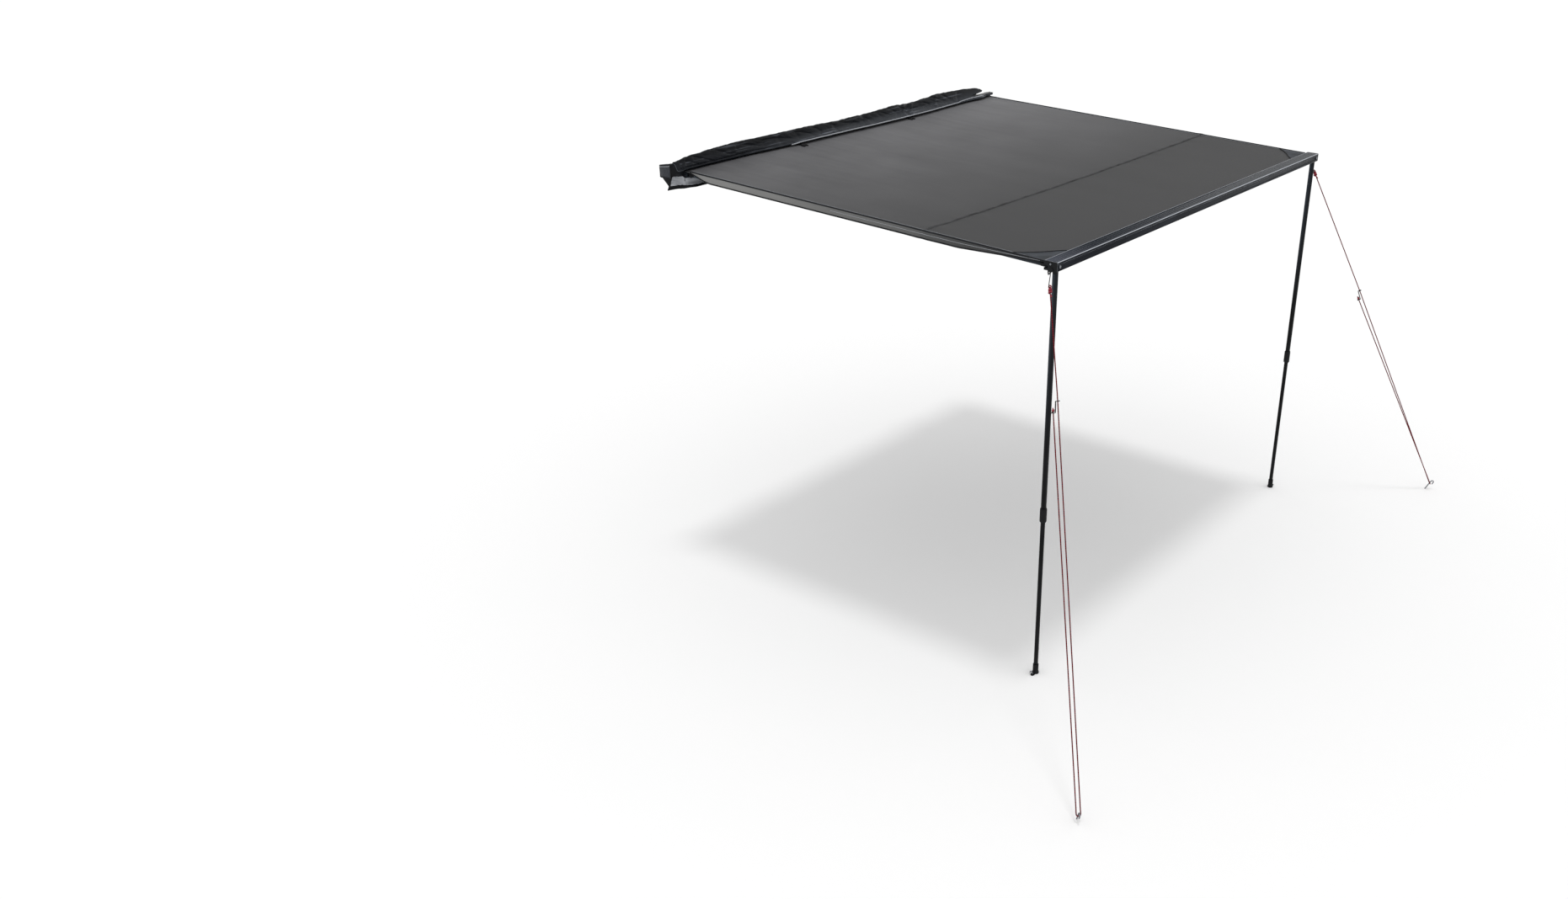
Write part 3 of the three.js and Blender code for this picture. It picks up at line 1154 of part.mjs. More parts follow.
function along(frame, distance, offset = 0) {
  return frame.eye.clone().addScaledVector(frame.down, distance).addScaledVector(frame.aside, offset);
}

function hookSolid(frame) {
  const up = frame.down.clone().negate();
  const across = new THREE.Vector3(1, 0, 0);
  across.addScaledVector(up, -across.dot(up)).normalize();
  const upper = along(frame, HOOK_SEAT + HOOK_BEND);
  const lower = along(frame, HOOK_SEAT + HOOK_BEND + HOOK_SHANK);
  const opening = Math.PI / 8;
  const top = arcPoints(upper, across, up, HOOK_BEND, Math.PI + opening, 0, BEND_STEPS);
  const bottom = arcPoints(lower, across, up, HOOK_BEND, Math.PI, Math.PI * 2 + opening, BEND_STEPS);
  return wire([...top, ...bottom], HOOK_WIRE);
}

function knotSolid(frame) {
  const wireLow = HOOK_SEAT + HOOK_BEND * 2 + HOOK_SHANK;
  const up = frame.down.clone().negate();
  const across = new THREE.Vector3(1, 0, 0);
  across.addScaledVector(up, -across.dot(up)).normalize();
  const sideways = across.clone().cross(up);
  const loopCentre = along(frame, wireLow + KNOT_LOOP_SEAT);
  const openLoop = arcPoints(
    loopCentre, sideways, up, KNOT_LOOP, -Math.PI * 0.49, Math.PI * 1.49, BEND_STEPS * 2,
  );
  const loopLow = wireLow + KNOT_LOOP_SEAT + KNOT_LOOP;
  const bulbCentre = along(frame, loopLow + KNOT_LENGTH / 2 - ROPE_DIAMETER / 2);
  const bulb = solidOf(new THREE.SphereGeometry(KNOT_LENGTH / 2, WIRE_SIDES + 4, WIRE_SIDES));
  const slim = KNOT_DIAMETER / KNOT_LENGTH;
  const turn = new THREE.Quaternion().setFromUnitVectors(new THREE.Vector3(0, 1, 0), up);
  const place = new THREE.Matrix4().compose(bulbCentre, turn, new THREE.Vector3(slim, 1, slim));
  const tailEnd = bulbCentre.clone()
    .addScaledVector(frame.down, KNOT_TAIL)
    .addScaledVector(sideways, KNOT_DIAMETER);
  const tail = wire([bulbCentre.clone(), tailEnd], ROPE_DIAMETER);
  return joined(bulb.transform(place.elements), wire(openLoop, ROPE_DIAMETER), tail);
}

// Runner: a strip bent to a tab at each end, with the rope through a hole in each tab
function runnerSolid(frame) {
  const across = frame.aside;
  const down = frame.down;
  const web = [
    [RUNNER_UPPER + RUNNER_TAB, 0], [RUNNER_UPPER - RUNNER_TAB, 0],
    [RUNNER_LOWER + RUNNER_TAB, RUNNER_LENGTH], [RUNNER_LOWER - RUNNER_TAB, RUNNER_LENGTH],
  ].map(([x, y]) => new THREE.Vector2(x, y));
  const strip = alongZ(ribbon(web, RUNNER_THICKNESS), RUNNER_WIDTH);
  const hole = alongY(disc(RUNNER_HOLE, WIRE_SIDES * 2), RUNNER_THICKNESS * 3);
  const body = strip
    .subtract(hole.translate([RUNNER_UPPER, 0, 0]))
    .subtract(hole.translate([RUNNER_LOWER, RUNNER_LENGTH, 0]));
  const place = new THREE.Matrix4().makeBasis(across, down, across.clone().cross(down));
  place.setPosition(along(frame, frame.runner));
  return body.transform(place.elements);
}

function ropeSolid(name) {
  const points = ROPE_ROUTES[name].map((point) => new THREE.Vector3(...point));
  const end = points[points.length - 1];
  const stopper = solidOf(new THREE.SphereGeometry(STOPPER_DIAMETER / 2, WIRE_SIDES + 2, WIRE_SIDES - 2));
  const above = end.clone().sub(points[points.length - 2]).normalize().multiplyScalar(STOPPER_DIAMETER / 4);
  return wire(points, ROPE_DIAMETER).add(stopper.translate(end.clone().add(above).toArray()));
}

function guyPegSolid(frame) {
  const lean = THREE.MathUtils.degToRad(GUY_PEG_LEAN);
  const outward = frame.down.clone().setZ(0).normalize();
  const shank = outward.clone().multiplyScalar(-Math.cos(lean)).addScaledVector(UP, -Math.sin(lean));
  const hookSide = outward.clone().multiplyScalar(Math.sin(lean)).addScaledVector(UP, -Math.cos(lean));
  const slant = Math.sqrt(1 - shank.dot(frame.down) ** 2);
  const offset = ROPE_DIAMETER / 2 + FIT_GAP * 3 + GUY_PEG_DIAMETER / 2 / slant;
  const held = frame.turn.clone().addScaledVector(frame.down, -offset);
  const top = held.clone().addScaledVector(shank, -GUY_PEG_NECK);
  const tip = top.clone().addScaledVector(shank, GUY_PEG_LENGTH);
  return pegSolid(top, tip, hookSide, GUY_PEG_DIAMETER, GUY_PEG_HOOK, GUY_PEG_NECK);
}

function guyGroup(name, side) {
  const group = new THREE.Group();
  const frame = guyFrame(name, side);
  group.add(
    piece(`guy_hook_${name}`, hookSolid(frame), blackSteel),
    piece(`guy_knot_${name}`, knotSolid(frame), cordage),
    piece(`guy_runner_${name}`, runnerSolid(frame), blackSteel),
    piece(`guy_rope_${name}`, ropeSolid(name), cordage),
    piece(`guy_peg_${name}`, guyPegSolid(frame), steel),
  );
  return group;
}

// The whole awning

const awning = new THREE.Group();
awning.add(backRailGroup(), frontRailGroup());
awning.add(piece('canopy', canopySolid(), canvas), bagGroup());
awning.add(strapGroup('left', STRAP_LEFT_X), strapGroup('right', STRAP_RIGHT_X));
for (const [name, side] of [['left', -1], ['right', 1]]) {
  awning.add(bracketGroup(name, side), rafterGroup(name, side), legGroup(name, side));
  awning.add(guyGroup(name, side));
}

export default awning;
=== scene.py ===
"""The looks of a roll-out side awning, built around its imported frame.

Every length is in metres, in the frame's own axes: X runs along the rails, -Y points
away from the vehicle and Z is up, with the origin on the back rail's rear face.
"""

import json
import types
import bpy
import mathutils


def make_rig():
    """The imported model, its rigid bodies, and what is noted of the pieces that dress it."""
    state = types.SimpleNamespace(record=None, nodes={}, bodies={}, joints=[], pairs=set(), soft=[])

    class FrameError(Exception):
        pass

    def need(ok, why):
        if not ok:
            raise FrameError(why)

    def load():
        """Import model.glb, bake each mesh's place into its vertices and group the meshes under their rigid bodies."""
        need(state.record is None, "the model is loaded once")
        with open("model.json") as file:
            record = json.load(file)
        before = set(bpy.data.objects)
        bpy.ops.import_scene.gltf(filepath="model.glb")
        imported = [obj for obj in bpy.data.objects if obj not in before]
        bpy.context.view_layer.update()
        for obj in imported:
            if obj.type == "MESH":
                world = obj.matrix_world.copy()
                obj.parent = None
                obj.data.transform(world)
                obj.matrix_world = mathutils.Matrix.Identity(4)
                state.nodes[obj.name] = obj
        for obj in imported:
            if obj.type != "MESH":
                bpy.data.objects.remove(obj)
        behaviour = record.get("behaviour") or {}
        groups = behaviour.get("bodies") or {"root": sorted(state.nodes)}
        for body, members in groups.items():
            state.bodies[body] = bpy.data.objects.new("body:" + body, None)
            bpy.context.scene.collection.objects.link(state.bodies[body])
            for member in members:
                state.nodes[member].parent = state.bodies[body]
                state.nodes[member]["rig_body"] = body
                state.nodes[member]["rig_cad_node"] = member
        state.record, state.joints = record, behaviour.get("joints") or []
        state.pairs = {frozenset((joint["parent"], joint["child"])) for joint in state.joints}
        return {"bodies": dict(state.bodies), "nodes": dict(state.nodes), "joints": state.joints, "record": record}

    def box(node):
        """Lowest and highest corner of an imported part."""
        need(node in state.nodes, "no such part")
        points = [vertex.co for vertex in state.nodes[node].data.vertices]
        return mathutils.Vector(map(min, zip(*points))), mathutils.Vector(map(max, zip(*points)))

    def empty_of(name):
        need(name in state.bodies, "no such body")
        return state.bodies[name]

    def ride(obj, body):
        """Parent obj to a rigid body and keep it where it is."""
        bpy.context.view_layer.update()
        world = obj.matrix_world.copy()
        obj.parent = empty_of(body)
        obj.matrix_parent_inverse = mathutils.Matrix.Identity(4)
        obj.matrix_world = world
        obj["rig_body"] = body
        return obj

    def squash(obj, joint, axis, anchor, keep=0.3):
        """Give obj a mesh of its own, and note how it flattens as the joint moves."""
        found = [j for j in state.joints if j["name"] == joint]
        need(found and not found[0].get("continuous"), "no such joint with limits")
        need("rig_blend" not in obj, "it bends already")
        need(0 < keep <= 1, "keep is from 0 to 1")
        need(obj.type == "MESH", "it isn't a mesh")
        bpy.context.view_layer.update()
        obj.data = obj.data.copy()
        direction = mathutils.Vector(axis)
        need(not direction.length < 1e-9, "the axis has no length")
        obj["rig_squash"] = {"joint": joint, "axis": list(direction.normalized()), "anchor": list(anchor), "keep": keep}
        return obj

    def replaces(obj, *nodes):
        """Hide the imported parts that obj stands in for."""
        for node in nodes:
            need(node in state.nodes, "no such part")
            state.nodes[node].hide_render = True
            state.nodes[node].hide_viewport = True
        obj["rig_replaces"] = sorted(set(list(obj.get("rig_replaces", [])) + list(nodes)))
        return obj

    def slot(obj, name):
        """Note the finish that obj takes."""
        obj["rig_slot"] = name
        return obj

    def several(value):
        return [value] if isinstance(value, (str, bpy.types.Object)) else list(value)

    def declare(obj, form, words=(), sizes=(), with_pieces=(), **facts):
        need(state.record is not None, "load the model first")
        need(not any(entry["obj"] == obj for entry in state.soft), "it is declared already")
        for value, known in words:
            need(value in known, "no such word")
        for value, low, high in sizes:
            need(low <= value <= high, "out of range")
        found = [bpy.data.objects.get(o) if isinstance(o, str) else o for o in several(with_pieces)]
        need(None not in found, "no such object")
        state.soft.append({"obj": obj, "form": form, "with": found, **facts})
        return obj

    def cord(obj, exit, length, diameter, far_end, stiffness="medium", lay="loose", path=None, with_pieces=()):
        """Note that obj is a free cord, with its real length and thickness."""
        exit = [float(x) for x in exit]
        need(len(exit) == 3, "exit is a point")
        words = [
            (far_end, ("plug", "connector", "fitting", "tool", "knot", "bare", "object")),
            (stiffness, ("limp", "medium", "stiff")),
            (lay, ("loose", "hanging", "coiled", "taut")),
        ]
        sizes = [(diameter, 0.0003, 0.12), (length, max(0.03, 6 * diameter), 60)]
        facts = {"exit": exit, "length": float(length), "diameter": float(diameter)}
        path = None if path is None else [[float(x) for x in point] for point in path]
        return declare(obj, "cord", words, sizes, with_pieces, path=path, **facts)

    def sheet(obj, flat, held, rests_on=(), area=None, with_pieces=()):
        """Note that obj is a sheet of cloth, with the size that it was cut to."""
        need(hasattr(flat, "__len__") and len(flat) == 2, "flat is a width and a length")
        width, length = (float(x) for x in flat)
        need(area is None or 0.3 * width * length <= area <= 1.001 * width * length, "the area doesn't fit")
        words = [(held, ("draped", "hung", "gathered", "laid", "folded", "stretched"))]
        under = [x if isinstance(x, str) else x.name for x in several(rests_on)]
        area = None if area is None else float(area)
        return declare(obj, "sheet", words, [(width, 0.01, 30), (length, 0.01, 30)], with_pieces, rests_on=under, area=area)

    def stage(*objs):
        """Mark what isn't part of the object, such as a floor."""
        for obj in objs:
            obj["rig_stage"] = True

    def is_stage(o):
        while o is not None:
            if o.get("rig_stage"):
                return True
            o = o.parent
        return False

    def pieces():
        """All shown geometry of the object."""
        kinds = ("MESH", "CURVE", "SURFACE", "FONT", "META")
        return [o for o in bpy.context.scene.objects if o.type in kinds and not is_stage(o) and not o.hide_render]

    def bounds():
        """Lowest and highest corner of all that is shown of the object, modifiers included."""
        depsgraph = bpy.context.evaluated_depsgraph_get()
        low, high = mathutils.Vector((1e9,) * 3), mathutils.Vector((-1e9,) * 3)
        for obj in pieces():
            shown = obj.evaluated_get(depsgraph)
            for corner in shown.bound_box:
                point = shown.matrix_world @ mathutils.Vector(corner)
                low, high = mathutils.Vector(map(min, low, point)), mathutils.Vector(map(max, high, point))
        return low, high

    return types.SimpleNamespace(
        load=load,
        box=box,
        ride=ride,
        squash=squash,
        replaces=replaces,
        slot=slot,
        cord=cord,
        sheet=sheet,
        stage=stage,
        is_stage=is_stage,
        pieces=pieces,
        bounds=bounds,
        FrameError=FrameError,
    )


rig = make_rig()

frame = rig.load()

import json
import logging
import math
from bisect import bisect_right
from collections.abc import Callable, Sequence
from dataclasses import dataclass, field, replace
from enum import Enum
from functools import cache, partial
from typing import NamedTuple

import bmesh
import bpy
from mathutils import Matrix, Vector, noise

CAD_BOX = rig.bounds()
LOG = logging.getLogger("awning")
MM = 0.001
IMAGE_WIDTH = 1862
IMAGE_HEIGHT = 1068
WAVE_PERIOD = math.pi / 10  # length of one band of a Wave texture at a scale of 1
WELD_REACH = 0.01 * MM
SPIKE_SHARE = 0.9  # share of a typical edge past which a walled point is drawn back
RIDGE_SLOPE = 2.4  # how fast a crease falls off from its ridge

Socket = bpy.types.NodeSocket
Tree = bpy.types.NodeTree
Span = tuple[float, float]  # a start and an end, or a place and its value


class Side(Enum):
    """The two ends of the awning, each with its direction along X."""

    LEFT = -1
    RIGHT = 1

    @property
    def label(self) -> str:
        """The word that ends this side's node names."""
        return self.name.lower()


# Materials


def linear_colour(code: str) -> tuple[float, float, float, float]:
    """Turns an sRGB hex colour into the linear colour that a shader takes.

    Args:
        code: The colour as "#RRGGBB".

    Returns:
        Red, green and blue in linear light, and an alpha of 1.
    """
    shares = [int(code[start:start + 2], 16) / 255 for start in (1, 3, 5)]
    red, green, blue = (
        share / 12.92 if share <= 0.04045 else ((share + 0.055) / 1.055) ** 2.4
        for share in shares
    )
    return red, green, blue, 1.0


def add_node(
    tree: Tree, kind: str, sockets: dict | None = None, output: str = "", **settings: object
) -> Socket:
    """Adds a node with its settings, its socket values and its links.

    Args:
        tree: The node tree that gets the node.
        kind: The node's type, without "ShaderNode".
        sockets: Input names or indices, each with a value or with the output that feeds it.
        output: Name of the output to return, or nothing for the first one in use.
        **settings: Properties of the node itself.

    Returns:
        The chosen output.
    """
    node = tree.nodes.new(f"ShaderNode{kind}")
    for name, value in settings.items():
        setattr(node, name, value)
    for name, value in (sockets or {}).items():
        if isinstance(value, Socket):
            tree.links.new(value, node.inputs[name])
        else:
            node.inputs[name].default_value = value
    return node.outputs[output] if output else next(each for each in node.outputs if each.enabled)


def blend(
    tree: Tree, share: Socket, start: str | Socket, end: str | Socket, span: Span = (0.0, 1.0)
) -> Socket:
    """Runs from one colour to another as a pattern goes through a span.

    Args:
        tree: The material's node tree.
        share: The pattern.
        start: The first colour, as a hex colour or an output.
        end: The second colour.
        span: The pattern's values where the run starts and ends; it may fall.

    Returns:
        The colour output.
    """
    factor = add_node(tree, "MapRange", {"Value": share, "From Min": span[0], "From Max": span[1]})
    first, last = (linear_colour(each) if isinstance(each, str) else each for each in (start, end))
    return add_node(tree, "Mix", {"Factor": factor, "A": first, "B": last}, data_type="RGBA")


@dataclass(frozen=True)
class Grain:
    """A pattern of a real size: soft noise, or waves where it has a bend.

    The bend is how far the waves leave their line, and finer is how much smaller their
    wobble is than they are.
    """

    size: float
    detail: float = 2.0
    bend: float = 0.0
    finer: float = 1.0
    direction: str = "DIAGONAL"

    def lay(self, tree: Tree, place: Socket) -> Socket:
        """Lays the pattern on a piece.

        Args:
            tree: The material's node tree.
            place: The coordinates that it follows.

        Returns:
            The pattern, from 0 to 1.
        """
        sockets = {"Vector": place, "Scale": 1 / self.size, "Detail": self.detail}
        if not self.bend:
            return add_node(tree, "TexNoise", sockets)
        sockets |= {
            "Scale": WAVE_PERIOD / self.size, "Distortion": self.bend, "Detail Scale": self.finer,
        }
        return add_node(tree, "TexWave", sockets, "Fac", bands_direction=self.direction)


class Patterns(NamedTuple):
    """What a finish feeds its shader: reliefs have their depths, the coarse one first."""

    colour: Socket
    gloss: Socket
    reliefs: list[tuple[Socket, float]]


@dataclass(frozen=True)
class Finish:
    """A surface finish: two shades that a cloud spreads, its gloss and its relief."""

    name: str
    colour: str
    dark: str
    cloud: Grain
    contrast: Span = (0.3, 0.7)
    roughness: float = 0.5
    uneven: float = 0.0
    metallic: float = 0.0
    specular: float = 0.5
    relief: Grain | None = None
    depth: float = 0.0

    def shade(self, tree: Tree, pattern: Socket) -> Socket:
        """Runs from the dark shade to the full colour over a pattern's contrast."""
        return blend(tree, pattern, self.dark, self.colour, self.contrast)

    def dress(self, tree: Tree) -> Patterns:
        """Makes the patterns of a plain finish: a cloud, and a relief of its own or the same.

        Args:
            tree: The material's node tree.

        Returns:
            The patterns.
        """
        place = add_node(tree, "TexCoord", output="Object")
        cloud = self.cloud.lay(tree, place)
        height = self.relief.lay(tree, place) if self.relief else cloud
        return Patterns(self.shade(tree, cloud), cloud, [(height, self.depth)])

    @cache
    def material(self) -> bpy.types.Material:
        """Makes the material once and returns it each time.

        Returns:
            The finished material.
        """
        material = bpy.data.materials.new(self.name)
        material.use_nodes = True
        tree = material.node_tree
        sockets = tree.nodes["Principled BSDF"].inputs
        sockets["Roughness"].default_value = self.roughness
        sockets["Metallic"].default_value = self.metallic
        sockets["Specular IOR Level"].default_value = self.specular
        made = self.dress(tree)
        tree.links.new(made.colour, sockets["Base Color"])
        if self.uneven:
            low, high = self.roughness - self.uneven, self.roughness + self.uneven
            gloss = add_node(tree, "MapRange", {"Value": made.gloss, "To Min": low, "To Max": high})
            tree.links.new(gloss, sockets["Roughness"])
        under = {}
        for height, depth in made.reliefs:
            if depth:
                bump = add_node(tree, "Bump", {"Height": height, "Distance": depth, **under})
                under = {"Normal": bump}
                tree.links.new(bump, sockets["Normal"])
        return material


@dataclass(frozen=True)
class AnodisedAluminium(Finish):
    """Dark grey anodised extrusion: near black on its upright faces, with a painted highlight
    that turns its top greyer, most at its left end, and die lines along X that catch the
    light in streaks. Listed edges, as Y and Z in mm, carry pale painted highlight lines."""

    name: str = "anodised_aluminium"
    colour: str = "#1D2128"
    dark: str = "#14171C"
    cloud: Grain = Grain(200 * MM)
    contrast: Span = (0.35, 0.65)
    roughness: float = 0.36
    uneven: float = 0.1
    specular: float = 0.04
    depth: float = 0.04 * MM
    # Painted highlight colours: the top's grey, its paler left end, and the listed edges' pale lines.
    dusty: str = "#1F242B"
    rubbed: str = "#4C4F58"
    bare: str = "#B6BAC1"
    edges: tuple[Span, ...] = ()
    edge_fade: Span = (3.38 * MM, 2.08 * MM)
    die_line: float = 2.2 * MM
    die_line_length: float = 900 * MM
    upward: Span = (0.35, 0.95)
    handled: Span = (-0.95, -1.25)

    def dress(self, tree: Tree) -> Patterns:
        """Makes the die lines, the painted highlight on the top, palest at the left end, and the painted highlight
        lines on the listed edges.

        Args:
            tree: The material's node tree.

        Returns:
            The patterns.
        """
        place = add_node(tree, "TexCoord", output="Object")
        stretch = (1 / self.die_line_length, 1 / self.die_line, 1 / self.die_line)
        drawn = add_node(tree, "Mapping", {"Vector": place, "Scale": stretch})
        lines = Grain(1.0, detail=3.0).lay(tree, drawn)
        turned = add_node(tree, "NewGeometry", output="True Normal")
        facing = add_node(tree, "SeparateXYZ", {"Vector": turned}, "Z")
        along = add_node(tree, "SeparateXYZ", {"Vector": place}, "X")
        # Painted highlight: faces turned up take a paler grey, palest towards the left end.
        top = blend(tree, along, self.dusty, self.rubbed, self.handled)
        side = self.shade(tree, self.cloud.lay(tree, place))
        colour = blend(tree, facing, side, top, self.upward)
        # Painted highlight lines: pale grey along the listed edges.
        section = add_node(tree, "VectorMath", {0: place, 1: (0.0, 1.0, 1.0)}, operation="MULTIPLY")
        for y, z in self.edges:
            edge = {0: section, 1: (0.0, y * MM, z * MM)}
            away = add_node(tree, "VectorMath", edge, operation="DISTANCE")
            colour = blend(tree, away, colour, self.bare, self.edge_fade)
        return Patterns(colour, lines, [(lines, self.depth)])


@dataclass(frozen=True)
class PowderCoat(Finish):
    """Satin black powder coat on drawn tube: a slight orange peel breaks up its highlights,
    and a slate painted highlight lies on its upper half, most on the side turned to the rail."""

    name: str = "powder_coat"
    colour: str = "#121316"
    dark: str = "#08090A"
    cloud: Grain = Grain(71.4 * MM, detail=6.0)
    contrast: Span = (0.35, 0.7)
    roughness: float = 0.41
    uneven: float = 0.09
    specular: float = 0.1
    relief: Grain = Grain(1.6 * MM, detail=1.0)
    depth: float = 0.05 * MM
    # Colour and spans of the painted slate highlight on the upper half.
    dusty: str = "#4A535D"
    inward: Span = (-0.5, 0.75)
    outward_dust: float = 0.12
    heights: Span = (-0.85, -0.1)

    def dress(self, tree: Tree) -> Patterns:
        """Makes the orange peel, faint handling marks and the painted slate highlight on the upper half.

        Args:
            tree: The material's node tree.

        Returns:
            The patterns.
        """
        place = add_node(tree, "TexCoord", output="Object")
        marks = self.cloud.lay(tree, place)
        # Painted highlight: slate grey on the upper half, most on faces turned towards the rail.
        turned = add_node(tree, "NewGeometry", output="Normal")
        facing = add_node(tree, "SeparateXYZ", {"Vector": turned}, "Y")
        low, high = self.inward
        lit_side = add_node(
            tree, "MapRange",
            {"Value": facing, "From Min": low, "From Max": high, "To Min": self.outward_dust},
        )
        level = add_node(tree, "SeparateXYZ", {"Vector": place}, "Z")
        low, high = self.heights
        upper = add_node(tree, "MapRange", {"Value": level, "From Min": low, "From Max": high})
        bloom = add_node(tree, "Math", {0: lit_side, 1: upper}, operation="MULTIPLY")
        colour = blend(tree, bloom, self.shade(tree, marks), self.dusty)
        return Patterns(colour, marks, [(self.relief.lay(tree, place), self.depth)])


@dataclass(frozen=True)
class CoatedCanvas(Finish):
    """Ripstop polyester with a matt polyurethane coat: a faint grid of thicker threads,
    drawn 4 mm apart so that it can show, cloudy shade and a darker front panel. The back
    panel carries a painted sheen, palest at the back edge and the right side, with streaks."""

    name: str = "coated_canvas"
    colour: str = "#6E6E70"
    dark: str = "#49494B"
    cloud: Grain = Grain(384.6 * MM, detail=6.0)
    roughness: float = 0.63
    uneven: float = 0.09
    specular: float = 0.2
    depth: float = 0.12 * MM
    front_colour: str = "#39393A"
    front_dark: str = "#313132"
    front_start: float = 0.72
    # Painted sheen: how pale the back panel grows, and its rise towards the right side.
    bleached: Span = (0.42, 0.92)
    sunward: float = 0.34
    thread: float = 4.0 * MM
    width: float = 2.56
    length: float = 2.03
    streak: float = 38 * MM
    streak_length: float = 420 * MM
    streaks: float = 0.0

    def dress(self, tree: Tree) -> Patterns:
        """Makes the thread grid, the cloudy shade and the painted sheen with its streaks from the back edge.

        Args:
            tree: The material's node tree.

        Returns:
            The patterns.
        """
        shares = add_node(tree, "TexCoord", output="UV")
        size = (self.width, self.length, 1.0)
        laid = add_node(tree, "Mapping", {"Vector": shares, "Scale": size})
        warp, weft = (Grain(self.thread, bend=0.3, direction=axis).lay(tree, laid) for axis in "XY")
        grid = add_node(tree, "Math", {0: warp, 1: weft}, operation="MAXIMUM")
        cloud = self.cloud.lay(tree, laid)
        stretch = (1 / self.streak, 1 / self.streak_length, 1.0)
        drawn = add_node(tree, "Mapping", {"Vector": laid, "Scale": stretch})
        streak = Grain(1.0).lay(tree, drawn)
        across, along = (add_node(tree, "SeparateXYZ", {"Vector": shares}, axis) for axis in "XY")
        # Painted sheen: streaks near the back edge and a rise towards the right side pale the back panel.
        fade = add_node(tree, "MapRange", {"Value": along, "To Min": self.streaks, "To Max": 0.0})
        streaked = add_node(tree, "Math", {0: streak, 1: fade, 2: cloud}, operation="MULTIPLY_ADD")
        sides = {0: across, 1: self.sunward, 2: streaked}
        bleached = add_node(tree, "Math", sides, operation="MULTIPLY_ADD")
        low, high = self.bleached
        back = blend(tree, bleached, self.dark, self.colour, (low, high + self.streaks / 2))
        front = blend(tree, cloud, self.front_dark, self.front_colour, self.contrast)
        # From the back edge to the front panel the colour runs from the back's to the front's: the back's paleness is a
        # painted sheen, strongest at the back edge.
        colour = blend(tree, along, back, front, (0.0, self.front_start))
        return Patterns(colour, cloud, [(grid, self.depth)])


@dataclass(frozen=True)
class SewnTape(Finish):
    """Folded canvas tape with a lockstitch along both edges: matt, with rows of short
    raised threads every 3 mm and a cloudy worn shade."""

    name: str = "sewn_tape"
    colour: str = "#3A3A3C"
    dark: str = "#202022"
    cloud: Grain = Grain(60 * MM, detail=5.0)
    contrast: Span = (0.38, 0.66)
    roughness: float = 0.7
    specular: float = 0.16
    depth: float = 0.5 * MM
    thread_colour: str = "#58585A"
    stitch: float = 3 * MM
    stitch_share: float = 0.24
    length: float = 2.49
    inset: float = 0.16
    row_width: float = 0.035

    def dress(self, tree: Tree) -> Patterns:
        """Makes the cloudy shade and the rows of stitches.

        Args:
            tree: The material's node tree.

        Returns:
            The patterns.
        """
        shares = add_node(tree, "TexCoord", output="UV")
        along, across = (add_node(tree, "SeparateXYZ", {"Vector": shares}, axis) for axis in "XY")
        edge = add_node(tree, "Math", {0: across, 1: 0.5}, operation="PINGPONG")
        near = {0: edge, 1: self.inset, 2: self.row_width}
        row = add_node(tree, "Math", near, operation="COMPARE")
        stitches = {0: along, 1: self.length / self.stitch}
        run = add_node(tree, "Math", stitches, operation="MULTIPLY")
        beat = add_node(tree, "Math", {0: run}, operation="FRACT")
        dash = add_node(tree, "Math", {0: beat, 1: self.stitch_share}, operation="LESS_THAN")
        sewn = add_node(tree, "Math", {0: row, 1: dash}, operation="MULTIPLY")
        cloud = self.cloud.lay(tree, add_node(tree, "TexCoord", output="Object"))
        colour = blend(tree, sewn, self.shade(tree, cloud), self.thread_colour)
        return Patterns(colour, cloud, [(sewn, self.depth)])


